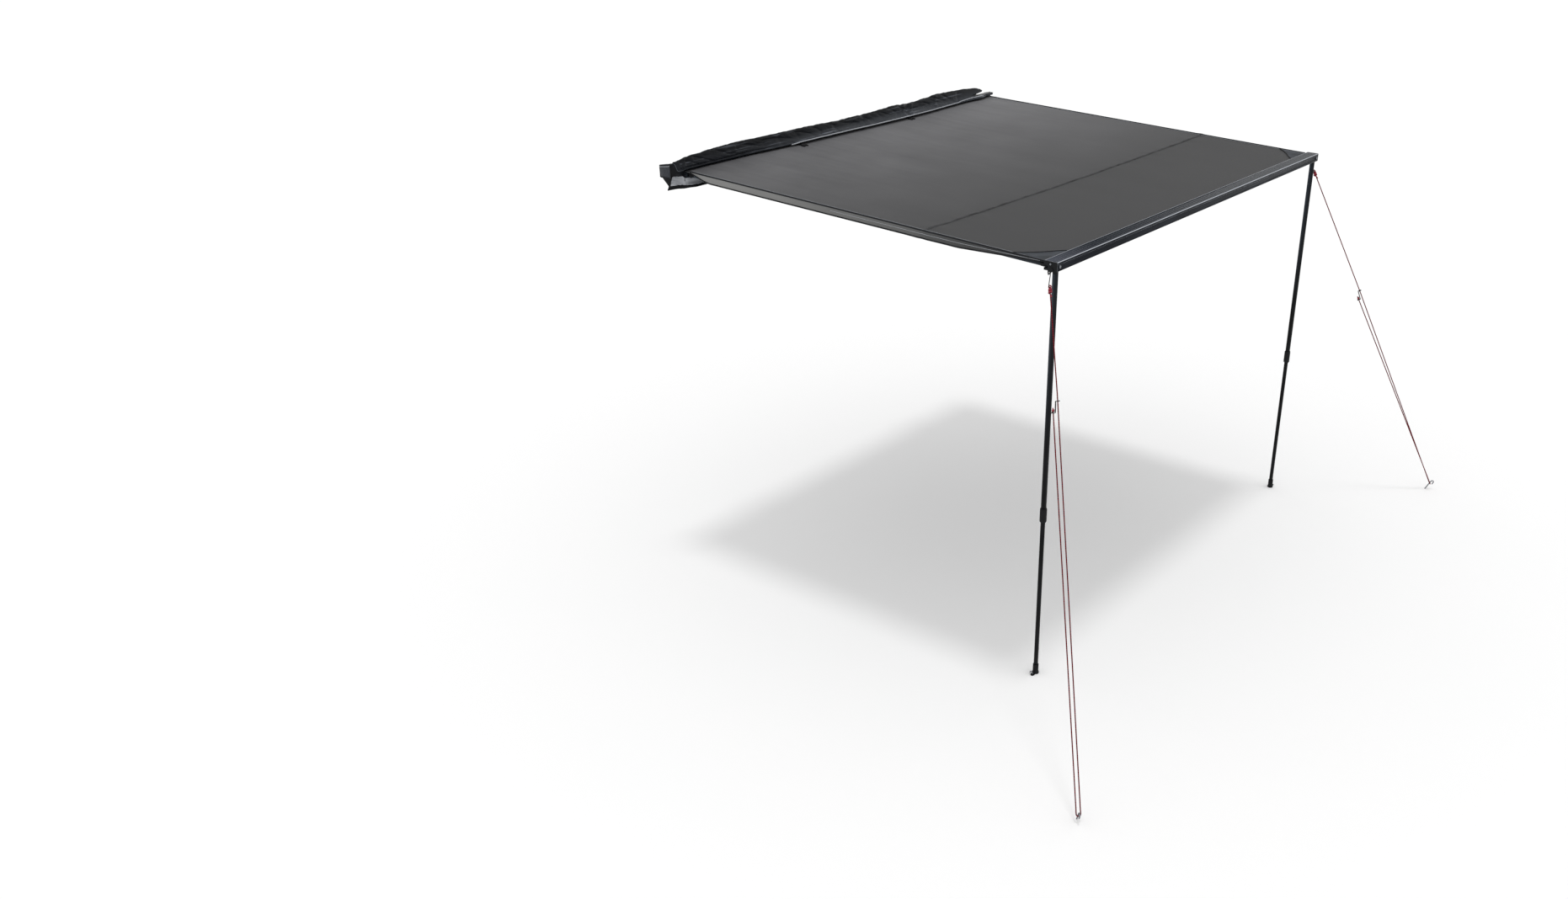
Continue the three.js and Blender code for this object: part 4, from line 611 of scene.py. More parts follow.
@dataclass(frozen=True)
class CoatedVinyl(Finish):
    """Black PVC-coated cloth: a smooth glossy skin with small creases over a faint woven
    base, long soft wrinkles in a painted shading colour, and a grey painted sheen towards a rolled lip."""

    name: str = "coated_vinyl"
    colour: str = "#0F1115"
    dark: str = "#060709"
    cloud: Grain = Grain(111.1 * MM, detail=6.0)
    contrast: Span = (0.35, 0.7)
    roughness: float = 0.31
    uneven: float = 0.11
    specular: float = 0.11
    relief: Grain = Grain(1.5 * MM)
    depth: float = 0.06 * MM
    # Painted shading of the wrinkles, then the painted sheen towards the lip.
    worn: str = "#26292E"
    worn_span: Span = (0.58, 0.78)
    bloom: str = "#43474E"
    bloom_share: float = 0.0
    bloom_start: float = 0.35
    bloom_span: Span = (0.4, 0.76)
    crease: float = 26 * MM
    crease_depth: float = 0.9 * MM
    wrinkle: float = 12 * MM
    wrinkle_length: float = 260 * MM
    wrinkle_tilt: float = 0.12

    def dress(self, tree: Tree) -> Patterns:
        """Makes the creases, the painted shading of the wrinkles, the painted sheen and the weave under the skin.

        Args:
            tree: The material's node tree.

        Returns:
            The patterns.
        """
        place = add_node(tree, "TexCoord", output="Object")
        scuff = self.cloud.lay(tree, place)
        creases = add_node(
            tree, "TexNoise",
            {"Vector": place, "Scale": 1 / self.crease, "Detail": 5.0, "Distortion": 1.4},
            noise_type="RIDGED_MULTIFRACTAL",
        )
        stretch = (1 / self.wrinkle_length, 1 / self.wrinkle, 1 / self.wrinkle)
        turn = (0.0, self.wrinkle_tilt, 0.0)
        drawn = add_node(tree, "Mapping", {"Vector": place, "Rotation": turn, "Scale": stretch})
        shares = add_node(tree, "TexCoord", output="UV")
        across, along = (add_node(tree, "SeparateXYZ", {"Vector": shares}, axis) for axis in "XY")
        # Painted sheen: grey that grows towards the rolled lip and towards the right end.
        low, high = self.bloom_span
        lipward = add_node(tree, "MapRange", {"Value": along, "From Min": low, "From Max": high})
        low, high = self.bloom_start * self.bloom_share, self.bloom_share
        onward = add_node(tree, "MapRange", {"Value": across, "To Min": low, "To Max": high})
        sheened = add_node(tree, "Math", {0: lipward, 1: onward}, operation="MULTIPLY")
        greyed = blend(tree, sheened, self.shade(tree, scuff), self.bloom)
        # The wrinkles take a painted shading colour: painted highlights on dark vinyl, painted shade on the pale copy.
        wrinkles = Grain(1.0, detail=3.0).lay(tree, drawn)
        colour = blend(tree, wrinkles, greyed, self.worn, self.worn_span)
        weave = self.relief.lay(tree, place)
        return Patterns(colour, scuff, [(creases, self.crease_depth), (weave, self.depth)])


ANODISED = AnodisedAluminium()
# Pale grey for the rails' bevels: a painted highlight along every edge.
BEVEL_HIGHLIGHT = AnodisedAluminium(
    "rubbed_anodised_edge", "#A2A7AF", "#7C8189", dusty="#9EA2A9", rubbed="#B4B8BE",
    metallic=0.5, specular=0.5,
)
# The front rail's two listed edges take pale painted highlight lines.
FRONT_ANODISED = AnodisedAluminium(
    "front_rail_aluminium", edges=((-2085.5, -50.0), (-2025.0, -50.0))
)
POWDER_COAT = PowderCoat()
# Black glass-filled nylon, spark-eroded mould texture: dull, with a fine even grain.
NYLON = Finish(
    "moulded_nylon", "#141518", "#0B0C0E", Grain(40 * MM), roughness=0.55, uneven=0.09,
    specular=0.16, relief=Grain(0.8 * MM), depth=0.06 * MM,
)
# Zinc-plated steel rod and bolts: mid-grey metal with a mottled sheen.
ZINC = Finish(
    "zinc_plated_steel", "#8E9196", "#5F6266", Grain(5.556 * MM, detail=4.0), roughness=0.38,
    uneven=0.12, metallic=1.0,
)
# Black-oxide steel wire and strip under a film of oil: dark, with paler rubbed patches.
BLACK_STEEL = Finish(
    "blackened_steel", "#1F2022", "#08090A", Grain(11.11 * MM, detail=5.0), contrast=(0.5, 0.8),
    roughness=0.42, specular=0.12,
)
CANVAS = CoatedCanvas(streaks=0.35)
# The side bands in a lit copy of the canvas: painted light that is pale at the back and a painted shade at the front.
BAND_LIT_CANVAS = CoatedCanvas(
    "hem_canvas", "#9B9B99", "#898988", front_colour="#2A2B2D", front_dark="#252628",
    front_start=1.0,
)
PATCH_CANVAS = SewnTape("patch_canvas", "#3F4349", "#2E3136", length=0.18, inset=0.06)
SEAM_TAPE = SewnTape()
VINYL = CoatedVinyl()
# The top flap: pale painted highlights on its wrinkles and a grey painted sheen towards its lip.
FLAP_VINYL = CoatedVinyl("flap_vinyl", worn="#60646C", bloom_share=0.7)
# Pale grey for the lower flap's upward faces: a painted reflection of the sky, with painted shade in its wrinkles.
VINYL_SKY_LIT = CoatedVinyl("vinyl_lining", "#B4B7BC", "#8E9197", worn="#303339", specular=0.4)
VINYL_FACING = CoatedVinyl("vinyl_facing", "#3A3D43", "#2A2D32", worn="#43474E", specular=0.2)
# Woven polyester webbing: fine ribs run across a matt tape, and their tops catch some light.
TAPE = Finish(
    "webbing", "#1D1F23", "#0E0F12", Grain(1.6 * MM, bend=0.6), contrast=(0.2, 0.8),
    roughness=0.8, specular=0.25, depth=0.15 * MM,
)
# Pale copies of the webbing for piping and stitch lines: painted highlights where they catch the light.
HIGHLIGHT_TAPE = replace(TAPE, name="edge_tape", colour="#BEC1C6", dark="#8E9197")
STITCH_HIGHLIGHT = replace(TAPE, name="stitching", colour="#9A9DA1", dark="#7A7D82")
LIT_TAPE = replace(TAPE, name="worn_tape", colour="#5C6066", dark="#36393F")
# Red polyester braid: plaited strands with a darker fleck, drawn 7 mm long to show.
CORD = Finish(
    "braided_cord", "#7A1822", "#400D15", Grain(7 * MM, bend=2.0, finer=2.0),
    contrast=(0.15, 0.75), roughness=0.7, specular=0.1, depth=0.3 * MM,
)
# The knots in a lighter copy of the cord: painted light on the same braid.
LIT_KNOT_CORD = replace(CORD, name="knotted_cord", colour="#A9434E", dark="#5E1C26")


# Mesh helpers


def relax(shape: bmesh.types.BMesh, reach: float) -> None:
    """Draws back the points that a wall's thickness threw out of a sharp crease.

    Args:
        shape: The mesh.
        reach: How far a point may lie from the middle of its neighbours.
    """
    for point in shape.verts:
        around = [edge.other_vert(point).co for edge in point.link_edges]
        middle = sum(around, Vector()) / len(around)
        if (point.co - middle).length > reach:
            point.co = middle


def keep(
    name: str, shape: bmesh.types.BMesh, finish: Finish, body: str, slot: str, wall: float = 0.0
) -> bpy.types.Object:
    """Makes a bmesh an object, gives it its finish and lets it ride on a body.

    Args:
        name: The new piece's name.
        shape: The mesh to keep; it is freed.
        finish: The finish to dress it in.
        body: The body that it rides on.
        slot: The record's material slot that it belongs to.
        wall: Thickness to give an open sheet, or 0 for a closed shape.

    Returns:
        The new object.
    """
    bmesh.ops.remove_doubles(shape, verts=shape.verts, dist=WELD_REACH)
    bmesh.ops.recalc_face_normals(shape, faces=shape.faces)
    if wall:
        typical = sum(edge.calc_length() for edge in shape.edges) / len(shape.edges)
        bmesh.ops.solidify(shape, geom=shape.faces[:], thickness=wall)
        relax(shape, SPIKE_SHARE * typical)
    if shape.calc_volume(signed=True) < 0:
        bmesh.ops.reverse_faces(shape, faces=shape.faces)
    mesh = bpy.data.meshes.new(name)
    shape.to_mesh(mesh)
    shape.free()
    mesh.shade_smooth()
    mesh.materials.append(finish.material())
    piece = bpy.data.objects.new(name, mesh)
    bpy.context.collection.objects.link(piece)
    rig.ride(piece, body)
    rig.slot(piece, slot)
    return piece


def reface(
    piece: bpy.types.Object, finish: Finish, takes: Callable[[bpy.types.MeshPolygon], bool]
) -> None:
    """Gives some faces of a piece a second finish.

    Args:
        piece: The piece.
        finish: The second finish.
        takes: Says whether a face takes it.
    """
    piece.data.materials.append(finish.material())
    for polygon in piece.data.polygons:
        if takes(polygon):
            polygon.material_index = 1


def mapped_grid(
    columns: int, rows: int, place: Callable[[float, float], Vector]
) -> bmesh.types.BMesh:
    """Makes a grid and moves each of its points to a place on a surface.

    Args:
        columns: Number of faces across.
        rows: Number of faces along.
        place: Gives the point for shares from 0 to 1 across and along.

    Returns:
        The placed grid, with a UV map of the shares.
    """
    shape = bmesh.new()
    shape.loops.layers.uv.new("UVMap")
    bmesh.ops.create_grid(shape, x_segments=columns, y_segments=rows, size=0.5, calc_uvs=True)
    for point in shape.verts:
        point.co = place(point.co.x + 0.5, point.co.y + 0.5)
    return shape


def round_curve(
    name: str, points: Sequence[Vector], radius: float, closed: bool = False,
    straight: Sequence[int] = (), steps: int = 6,
) -> bpy.types.Object:
    """Makes a curve with a round section through a row of points.

    Args:
        name: Name of the curve and its object.
        points: Points on its centre line.
        radius: The section's radius.
        closed: Whether the line closes on itself.
        straight: Numbers of the points that it meets without a bend.
        steps: Number of straight pieces from one point to the next.

    Returns:
        The curve's object.
    """
    curve = bpy.data.curves.new(name, "CURVE")
    curve.dimensions = "3D"
    curve.bevel_depth = radius
    curve.bevel_resolution = 3
    curve.resolution_u = steps
    curve.use_fill_caps = not closed
    spline = curve.splines.new("BEZIER")
    spline.bezier_points.add(len(points) - 1)
    for index, (knot, point) in enumerate(zip(spline.bezier_points, points)):
        knot.co = point
        kind = "VECTOR" if index in straight else "AUTO"
        knot.handle_left_type = knot.handle_right_type = kind
    spline.use_cyclic_u = closed
    holder = bpy.data.objects.new(name, curve)
    bpy.context.collection.objects.link(holder)
    return holder


def tube(points: Sequence[Vector], radius: float, closed: bool = False) -> bmesh.types.BMesh:
    """Makes a round tube along a smooth line.

    Args:
        points: Points on the tube's centre line.
        radius: The tube's radius.
        closed: Whether the line closes on itself.

    Returns:
        The tube's mesh, with capped ends.
    """
    holder = round_curve("tube_line", points, radius, closed)
    curve = holder.data
    bpy.context.view_layer.update()
    made = bpy.data.meshes.new_from_object(holder)
    shape = bmesh.new()
    shape.from_mesh(made)
    bpy.data.objects.remove(holder)
    bpy.data.meshes.remove(made)
    bpy.data.curves.remove(curve)
    return shape


def coil(
    start: Vector, across: Vector, aside: Vector, rise_step: Vector, turns: Sequence[float]
) -> list[Vector]:
    """Gives points that wind round an axis.

    Args:
        start: The axis' point at no turn.
        across: The first arm of the coil.
        aside: The second arm, a quarter turn on.
        rise_step: The way along the axis for one whole turn.
        turns: The turns in radians.

    Returns:
        A point for each turn.
    """
    return [
        start + rise_step * (turn / math.tau) + across * math.cos(turn) + aside * math.sin(turn)
        for turn in turns
    ]


def rise(place: float, start: float, end: float) -> float:
    """Gives a soft step from 0 at a start to 1 at an end, which may lie on either side."""
    share = min(max((place - start) / (end - start), 0.0), 1.0)
    return share * share * (3 - 2 * share)


def hump(place: float, middle: float, width: float) -> float:
    """Gives a soft hump that is 1 at its middle and a third at its width from it."""
    return math.exp(-(((place - middle) / width) ** 2))


def eased(table: Sequence[Span], place: float) -> float:
    """Reads a table of places and values, with soft turns between its entries.

    Args:
        table: Places in rising order, each with its value.
        place: The place to read at.

    Returns:
        The value there.
    """
    index = bisect_right([entry[0] for entry in table], place) - 1
    index = min(max(index, 0), len(table) - 2)
    (start, low), (end, high) = table[index], table[index + 1]
    return low + (high - low) * rise(place, start, end)


def rolling(value: float, seed: float) -> float:
    """A smooth random line from -1 to 1, for a place along it and a seed."""
    return noise.noise(Vector((value, seed, seed * 1.7)))


def creased(place: Vector, seed: float) -> float:
    """A random field with sharp ridges, from 0 to 1, for a place and a seed."""
    return 1 - min(1.0, abs(noise.noise(place + Vector((seed, seed, seed)))) * RIDGE_SLOPE)


@dataclass(frozen=True)
class Ripple:
    """A smooth random wobble: its height, its beats for each metre and its seed."""

    height: float
    beats: float
    seed: float

    def at(self, place: float, shift: float = 0.0) -> float:
        """Gives the wobble at a place along a line, shifted by some beats."""
        return self.height * rolling(place * self.beats + shift, self.seed)


@dataclass(frozen=True)
class Crumple:
    """Sharp creases of a field: their height, the cloth's rise between them, sharpness and seed."""

    height: float
    between: float
    power: int
    seed: float

    def at(self, spot: Vector) -> float:
        """Gives the crease's depth at a spot of the field."""
        return creased(spot, self.seed) ** self.power * self.height - self.between


# The studio


@dataclass
class Studio:
    """Camera, lamps, world and floor."""

    position: Vector = field(default_factory=lambda: Vector((-5.7228, -4.8308, 1.4836)))
    azimuth: float = math.radians(-51.93)
    elevation: float = math.radians(26.34)
    focal_pixels: float = 1636.6
    centre_pixels: Span = (1073.7, 599.2)
    sensor: float = 36.0
    view_reach: float = 200.0
    floor_radius: float = 60.0
    foot_sink: float = 12 * MM
    sun_strength: float = 0.7
    sun_angle: float = math.radians(9)
    sun_aim: Vector = field(default_factory=lambda: Vector((-0.1, 0.2, -4.0)))
    sky_strength: float = 0.81

    def camera(self) -> None:
        """Sets the camera as the photograph's was."""
        data = bpy.data.cameras.new("camera")
        data.sensor_fit = "HORIZONTAL"
        data.sensor_width = self.sensor
        data.lens = self.sensor * self.focal_pixels / IMAGE_WIDTH
        data.shift_x = (IMAGE_WIDTH / 2 - self.centre_pixels[0]) / IMAGE_WIDTH
        data.shift_y = (self.centre_pixels[1] - IMAGE_HEIGHT / 2) / IMAGE_WIDTH
        data.clip_end = self.view_reach
        camera = bpy.data.objects.new("camera", data)
        level = math.cos(self.elevation)
        ahead = Vector((
            -math.sin(self.azimuth) * level, math.cos(self.azimuth) * level,
            -math.sin(self.elevation),
        ))
        camera.location = self.position
        camera.rotation_euler = ahead.to_track_quat("-Z", "Y").to_euler()
        bpy.context.collection.objects.link(camera)
        bpy.context.scene.camera = camera

    def sun(self) -> None:
        """Hangs a soft sun nearly overhead."""
        data = bpy.data.lights.new("overhead_sun", "SUN")
        data.energy = self.sun_strength
        data.angle = self.sun_angle
        lamp = bpy.data.objects.new("overhead_sun", data)
        lamp.rotation_euler = self.sun_aim.to_track_quat("-Z", "Y").to_euler()
        bpy.context.collection.objects.link(lamp)

    def sky(self) -> None:
        """Lights the object from all round, with white where the sky itself is seen."""
        world = bpy.data.worlds.new("world")
        bpy.context.scene.world = world
        world.use_nodes = True
        tree = world.node_tree
        seen = add_node(tree, "LightPath", output="Is Camera Ray")
        for ray in ("Is Glossy Ray", "Is Transmission Ray"):
            other = add_node(tree, "LightPath", output=ray)
            seen = add_node(tree, "Math", {0: seen, 1: other}, operation="MAXIMUM")
        strength = {"Value": seen, "To Min": self.sky_strength, "To Max": 1.0}
        background = tree.nodes["Background"].inputs
        tree.links.new(add_node(tree, "MapRange", strength), background["Strength"])
        background["Color"].default_value = linear_colour("#FFFFFF")

    def floor(self) -> None:
        """Lays a plain pale floor at the height that the feet stand on."""
        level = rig.box("leg_foot_left")[0].z + self.foot_sink
        shape = bmesh.new()
        bmesh.ops.create_circle(shape, cap_ends=True, segments=96, radius=self.floor_radius)
        bmesh.ops.translate(shape, verts=shape.verts, vec=(0, 0, level))
        mesh = bpy.data.meshes.new("floor")
        shape.to_mesh(mesh)
        shape.free()
        material = bpy.data.materials.new("floor_paint")
        material.use_nodes = True
        shader = material.node_tree.nodes["Principled BSDF"]
        shader.inputs["Base Color"].default_value = linear_colour("#FFFFFF")
        shader.inputs["Roughness"].default_value = 1.0
        shader.inputs["Specular IOR Level"].default_value = 0.0
        mesh.materials.append(material)
        floor = bpy.data.objects.new("floor", mesh)
        bpy.context.collection.objects.link(floor)
        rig.stage(floor)

    def build(self) -> None:
        """Sets up the whole studio."""
        self.camera()
        self.sun()
        self.sky()
        self.floor()
        bpy.context.scene.view_settings.view_transform = "Standard"


# Guy ropes


@dataclass
class GuyRope:
    """One guy rope: its cord, the knot on the hook and the stopper knot at the runner.

    The route is in millimetres. The cord meets the points listed as straight without a bend.
    """

    side: Side
    length: float
    route: Sequence[tuple[float, float, float]]
    radius: float = 2.5 * MM
    eye_height: float = 26 * MM
    knot_loop: float = 5.5 * MM
    knot_height: float = 19 * MM
    knot_turn: float = 5.0 * MM
    knot_oval: float = 1.15
    knot_pitch: float = 4.7 * MM
    second_tail: int = 12
    stopper_drop: float = 2.0 * MM
    stopper_turn: float = 3.4 * MM
    stopper_pitch: float = 4.4 * MM
    stopper_end: float = 13 * MM
    loop_angles: Sequence[int] = range(-80, 261, 34)
    turn_steps: int = 8
    wrap_steps: int = 31
    stopper_steps: int = 17
    tail_tilt: float = 0.2
    tail_share: float = 0.9
    tail_steps: Sequence[Span] = ((0.0, 0.0), (4.0, 3.0), (8.5, 9.0), (9.5, 18.0))
    straight: tuple[int, ...] = (0, 1, 2, 3, 4, 7, 8, 9, 10, 20, 21, 22, 23)

    @property
    def points(self) -> list[Vector]:
        """The route in metres."""
        return [Vector(point) * MM for point in self.route]

    def turns(self, steps: int) -> list[float]:
        """Gives the turns of a winding of some steps, in radians."""
        return [math.tau * step / self.turn_steps for step in range(steps)]

    def tail(self, root: Vector, out: Vector, along: Vector) -> list[Vector]:
        """Gives the line of a short loose tail that leaves a root one way and turns another."""
        return [root + (out * aside + along * down) * MM for aside, down in self.tail_steps]

    def knot(self) -> bpy.types.Object:
        """Ties the loop, its wraps and its tails round the foot of the wire hook.

        Returns:
            The knot.
        """
        start, first, second, *_ = self.points
        down = (second - first).normalized()
        across = (Vector((1, 0, 0)) - down * down.x).normalized()
        aside = across.cross(-down)
        eye = start - down * self.eye_height
        turns = [math.radians(angle) for angle in self.loop_angles]
        loop = coil(eye, aside * self.knot_loop, -down * self.knot_loop, Vector(), turns)
        foot = start - down * self.knot_height
        arms = across * self.knot_turn, aside * self.knot_turn * self.knot_oval
        wraps = coil(foot, *arms, down * self.knot_pitch, self.turns(self.wrap_steps))
        shape = tube([start, *loop, *wraps, *self.tail(wraps[-1], aside, down)], self.radius)
        loose = self.tail(wraps[self.second_tail], -aside, across - down * self.tail_tilt)
        other = tube(loose, self.radius * self.tail_share)
        joined = bpy.data.meshes.new("tail")
        other.to_mesh(joined)
        other.free()
        shape.from_mesh(joined)
        bpy.data.meshes.remove(joined)
        name = f"guy_loop_knot_{self.side.label}"
        piece = keep(name, shape, LIT_KNOT_CORD, "front_rail", "cordage")
        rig.replaces(piece, f"guy_knot_{self.side.label}")
        return piece

    def stopper(self) -> bpy.types.Object:
        """Ties the stopper knot above the runner's lower tab.

        Returns:
            The stopper knot.
        """
        end = self.points[-1]
        up = (end - self.points[-2]).normalized()
        across = up.orthogonal().normalized()
        arms = across * self.stopper_turn, up.cross(across) * self.stopper_turn
        turns = self.turns(self.stopper_steps)
        wound = coil(end - up * self.stopper_drop, *arms, up * self.stopper_pitch, turns)
        shape = tube([*wound, end + up * self.stopper_end], self.radius)
        name = f"guy_stopper_knot_{self.side.label}"
        return keep(name, shape, LIT_KNOT_CORD, "front_rail", "cordage")

    def build(self) -> None:
        """Ties both knots and lays the cord along its route."""
        label = self.side.label
        knots = [self.knot(), self.stopper()]
        points = self.points
        name = f"guy_cord_{label}"
        piece = round_curve(name, points, self.radius, straight=self.straight, steps=8)
        piece.data.materials.append(CORD.material())
        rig.ride(piece, "front_rail")
        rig.slot(piece, "cordage")
        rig.replaces(piece, f"guy_rope_{label}")
        metal = [frame["nodes"][f"guy_{kind}_{label}"] for kind in ("runner", "peg")]
        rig.cord(
            piece, exit=points[0], length=self.length, diameter=2 * self.radius,
            far_end="knot", stiffness="limp", lay="taut", with_pieces=[*knots, *metal],
        )


LEFT_ROUTE = (
    (-1281.1, -2077.7, -167.7), (-1286.5, -2082.8, -180.7), (-1331.4, -2128.3, -292.8),
    (-1376.4, -2173.6, -405), (-1418.3, -2216.2, -509.8), (-1426.8, -2224.5, -530.6),
    (-1431.1, -2228.6, -541.1), (-1439.7, -2236.8, -561.9), (-1621.4, -2410.7, -1003.8),
    (-1803.1, -2584.7, -1445.7), (-1990.4, -2763.9, -1900.9), (-1998.1, -2771.3, -1919.6),
    (-1999.7, -2771.9, -1922.4), (-2002, -2771.5, -1924.8), (-2004.5, -2770.1, -1926.4),
    (-2007, -2768, -1927), (-2009, -2765.4, -1926.4), (-2010.2, -2762.8, -1924.8),
    (-2010.5, -2760.5, -1922.4), (-2009.8, -2758.9, -1919.6), (-2002.1, -2751.6, -1900.9),
    (-1821.2, -2577, -1459.3), (-1645.6, -2407.5, -1030.6), (-1470, -2238, -601.9),
    (-1461.3, -2229.8, -581), (-1457, -2225.7, -570.6),
)
RIGHT_ROUTE = (
    (1272.8, -2079.8, -169.7), (1276.6, -2085.3, -183.2), (1334.4, -2168.3, -381.3),
    (1392.2, -2251.2, -579.6), (1444.4, -2326, -758.4), (1450.6, -2334.9, -779.8),
    (1453.7, -2339.3, -790.5), (1459.8, -2348.1, -812), (1563.2, -2491.7, -1171.1),
    (1666.7, -2635.2, -1530.2), (1773.3, -2783.2, -1900.2), (1778.8, -2791, -1919.4),
    (1779.1, -2792.6, -1922.3), (1778.3, -2794.7, -1924.8), (1776.5, -2796.9, -1926.4),
    (1774, -2799, -1927), (1771.2, -2800.6, -1926.4), (1768.4, -2801.5, -1924.8),
    (1766.2, -2801.6, -1922.3), (1764.9, -2800.7, -1919.4), (1759.4, -2792.9, -1900.2),
    (1658, -2642.4, -1547.2), (1559.7, -2496.3, -1204.6), (1461.3, -2350.3, -862.1),
    (1455.2, -2341.5, -840.6), (1452.1, -2337.1, -829.8),
)


# Canopy


@dataclass
class Canopy:
    """The stretched cloth with its side bands, welts, seam tape and corner patches."""

    half_width: float = 1246.5 * MM
    back: Vector = field(default_factory=lambda: Vector((0, -15.5, 17)) * MM)
    front: Vector = field(default_factory=lambda: Vector((0, -2029.5, -56.5)) * MM)
    travel: float = 850 * MM
    wall: float = 1.0 * MM
    columns: int = 176
    rows: int = 190
    sag: float = 12 * MM
    held: float = 0.12
    ripple: Ripple = Ripple(1.8 * MM, 5.5, 3.1)
    ripple_drift: float = 1.2
    pull: Ripple = Ripple(1.6 * MM, 17, 8.3)
    pull_place: Span = (0.1, 0.14)
    pocket: float = 0.9 * MM
    pocket_place: Span = (0.022, 0.016)
    seam_y: float = -1422 * MM
    seam_width: float = 17 * MM
    seam_share: float = 0.1
    seam_rise: float = 1.0 * MM
    seam_reach: float = 0.674
    pucker: Ripple = Ripple(0.9 * MM, 42, 5.7)
    pucker_gain: float = 8 / 9
    gather: Ripple = Ripple(1.5 * MM, 14, 2.2)
    gather_gain: float = 16 / 15
    gather_reach: float = 3.2
    tape_swell: Ripple = Ripple(0.7 * MM, 26, 1.9)
    tape_rise: float = 1.1 * MM
    tape_lift: float = 0.3 * MM
    fold: float = 3 * MM
    fold_share: float = 0.3
    band: float = 33 * MM
    band_share: float = 0.05
    band_start: float = -20 * MM
    band_end: float = -2025 * MM
    back_taper: float = 170 * MM
    front_taper: float = 420 * MM
    sways: tuple[Ripple, Ripple] = (Ripple(0.5 * MM, 9, 3.4), Ripple(0.5 * MM, 9, 5.4))
    cord_lift: float = 0.6 * MM
    cord_steps: int = 90
    patch_width: float = 182 * MM
    patch_length: float = 152 * MM
    patch_gap: float = 10 * MM
    patch_lift: float = 1.2 * MM
    patch_rise: float = 1.0 * MM
    patch_hollow: float = 0.14
    patch_rim: float = 8.0
    patch_swell: Ripple = Ripple(0.6 * MM, 30, 3.3)
    patch_cells: int = 24

    def along(self, share: float) -> float:
        """Gives Y for a share of the grid's rows, which lie closer together at the seam.

        Args:
            share: Place from the back edge, 0, to the front edge, 1.

        Returns:
            The place's Y.
        """
        near, far = self.seam_y + self.seam_width, self.seam_y - self.seam_width
        middle = (self.back.y - self.seam_y) / (self.back.y - self.front.y)
        start, end = middle - self.seam_share / 2, middle + self.seam_share / 2
        if share < start:
            return self.back.y + (near - self.back.y) * share / start
        if share > end:
            return far + (self.front.y - far) * (share - end) / (1 - end)
        return near + (far - near) * (share - start) / self.seam_share

    def level(self, x: float, y: float) -> float:
        """Gives the cloth's height, with its sag, tension ripples and seam.

        Args:
            x: Place along the rails.
            y: Place between the rails.

        Returns:
            The height of the cloth's top face.
        """
        run = (self.back.y - y) / (self.back.y - self.front.y)
        across = abs(x) / self.half_width
        slack = math.sin(math.pi * min(max(run, 0), 1)) * rise(run, 0.0, self.held)
        flat = self.back.z + (self.front.z - self.back.z) * run
        flat += self.pocket * hump(run, *self.pocket_place)
        flat -= self.sag * (1 - across ** 2) * slack
        ripple = self.ripple.at(x, run * self.ripple_drift) * slack * (1 - across) ** 0.3
        pull = self.pull.at(x) * slack * hump(run, *self.pull_place)
        off = (y - self.seam_y) / self.seam_width
        seam = hump(off, 0.0, self.seam_reach)
        edge = across ** 4
        pucker = (self.seam_rise + self.pucker.at(x) * (1 + self.pucker_gain * edge)) * seam
        gather = self.gather.at(x) * (1 + self.gather_gain * edge)
        gather *= hump(off, 0.0, self.gather_reach)
        return flat + (ripple + pull) * (1 - seam) + pucker + gather

    def band_depth(self, y: float) -> float:
        """Gives how far the side band hangs at a place between the rails.

        Args:
            y: The place.

        Returns:
            The band's depth below the cloth.
        """
        behind = rise(y, self.band_start, self.band_start - self.back_taper)
        ahead = min(max((y - self.band_end) / self.front_taper, 0.0), 1.0)
        return self.fold + (self.band - self.fold) * behind * ahead

    def cloth_point(self, across: float, along: float) -> Vector:
        """Gives the point of the cloth for shares across and along it.

        Args:
            across: Share from the left hem, 0, to the right hem, 1.
            along: Share from the back rail, 0, to the front rail, 1.

        Returns:
            The point.
        """
        y = self.along(along)
        offset = abs(across - 0.5) * 2
        side = 1 if across > 0.5 else -1
        flat = 1 - 2 * self.band_share
        edge = self.half_width - self.fold
        if offset <= flat:
            x = side * edge * offset / flat
            return Vector((x, y, self.level(x, y)))
        down = (offset - flat) / (1 - flat)
        turn = min(down / self.fold_share, 1.0) * math.pi / 2
        hang = max(down - self.fold_share, 0.0) / (1 - self.fold_share)
        sway = min(self.sways[side > 0].at(y) * hang, 0.0)
        x = edge + self.fold * math.sin(turn) + sway
        z = self.level(side * edge, y) - self.fold * (1 - math.cos(turn))
        return Vector((side * x, y, z - (self.band_depth(y) - self.fold) * hang))

    def sewn(
        self, name: str, shape: bmesh.types.BMesh, finish: Finish, wall: float = 0.0
    ) -> bpy.types.Object:
        """Keeps a piece of the cloth, which shortens as the front rail slides in.

        Args:
            name: The piece's name.
            shape: Its mesh.
            finish: Its finish.
            wall: Its thickness, or 0 for a closed shape.

        Returns:
            The piece.
        """
        piece = keep(name, shape, finish, "rail_assembly", "canvas", wall=wall)
        slide = next(joint for joint in frame["joints"] if joint["name"] == "front_rail_slide")
        axis = Vector(slide["axis"]).normalized()
        kept = 1 - self.travel / (self.back - self.front).dot(axis)
        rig.squash(piece, "front_rail_slide", axis=axis, anchor=self.back, keep=kept)
        return piece

    def is_band(self, face: bpy.types.MeshPolygon) -> bool:
        """Says whether a face of the cloth belongs to a side band."""
        return abs(face.center.x) > self.half_width - 0.8 * self.fold

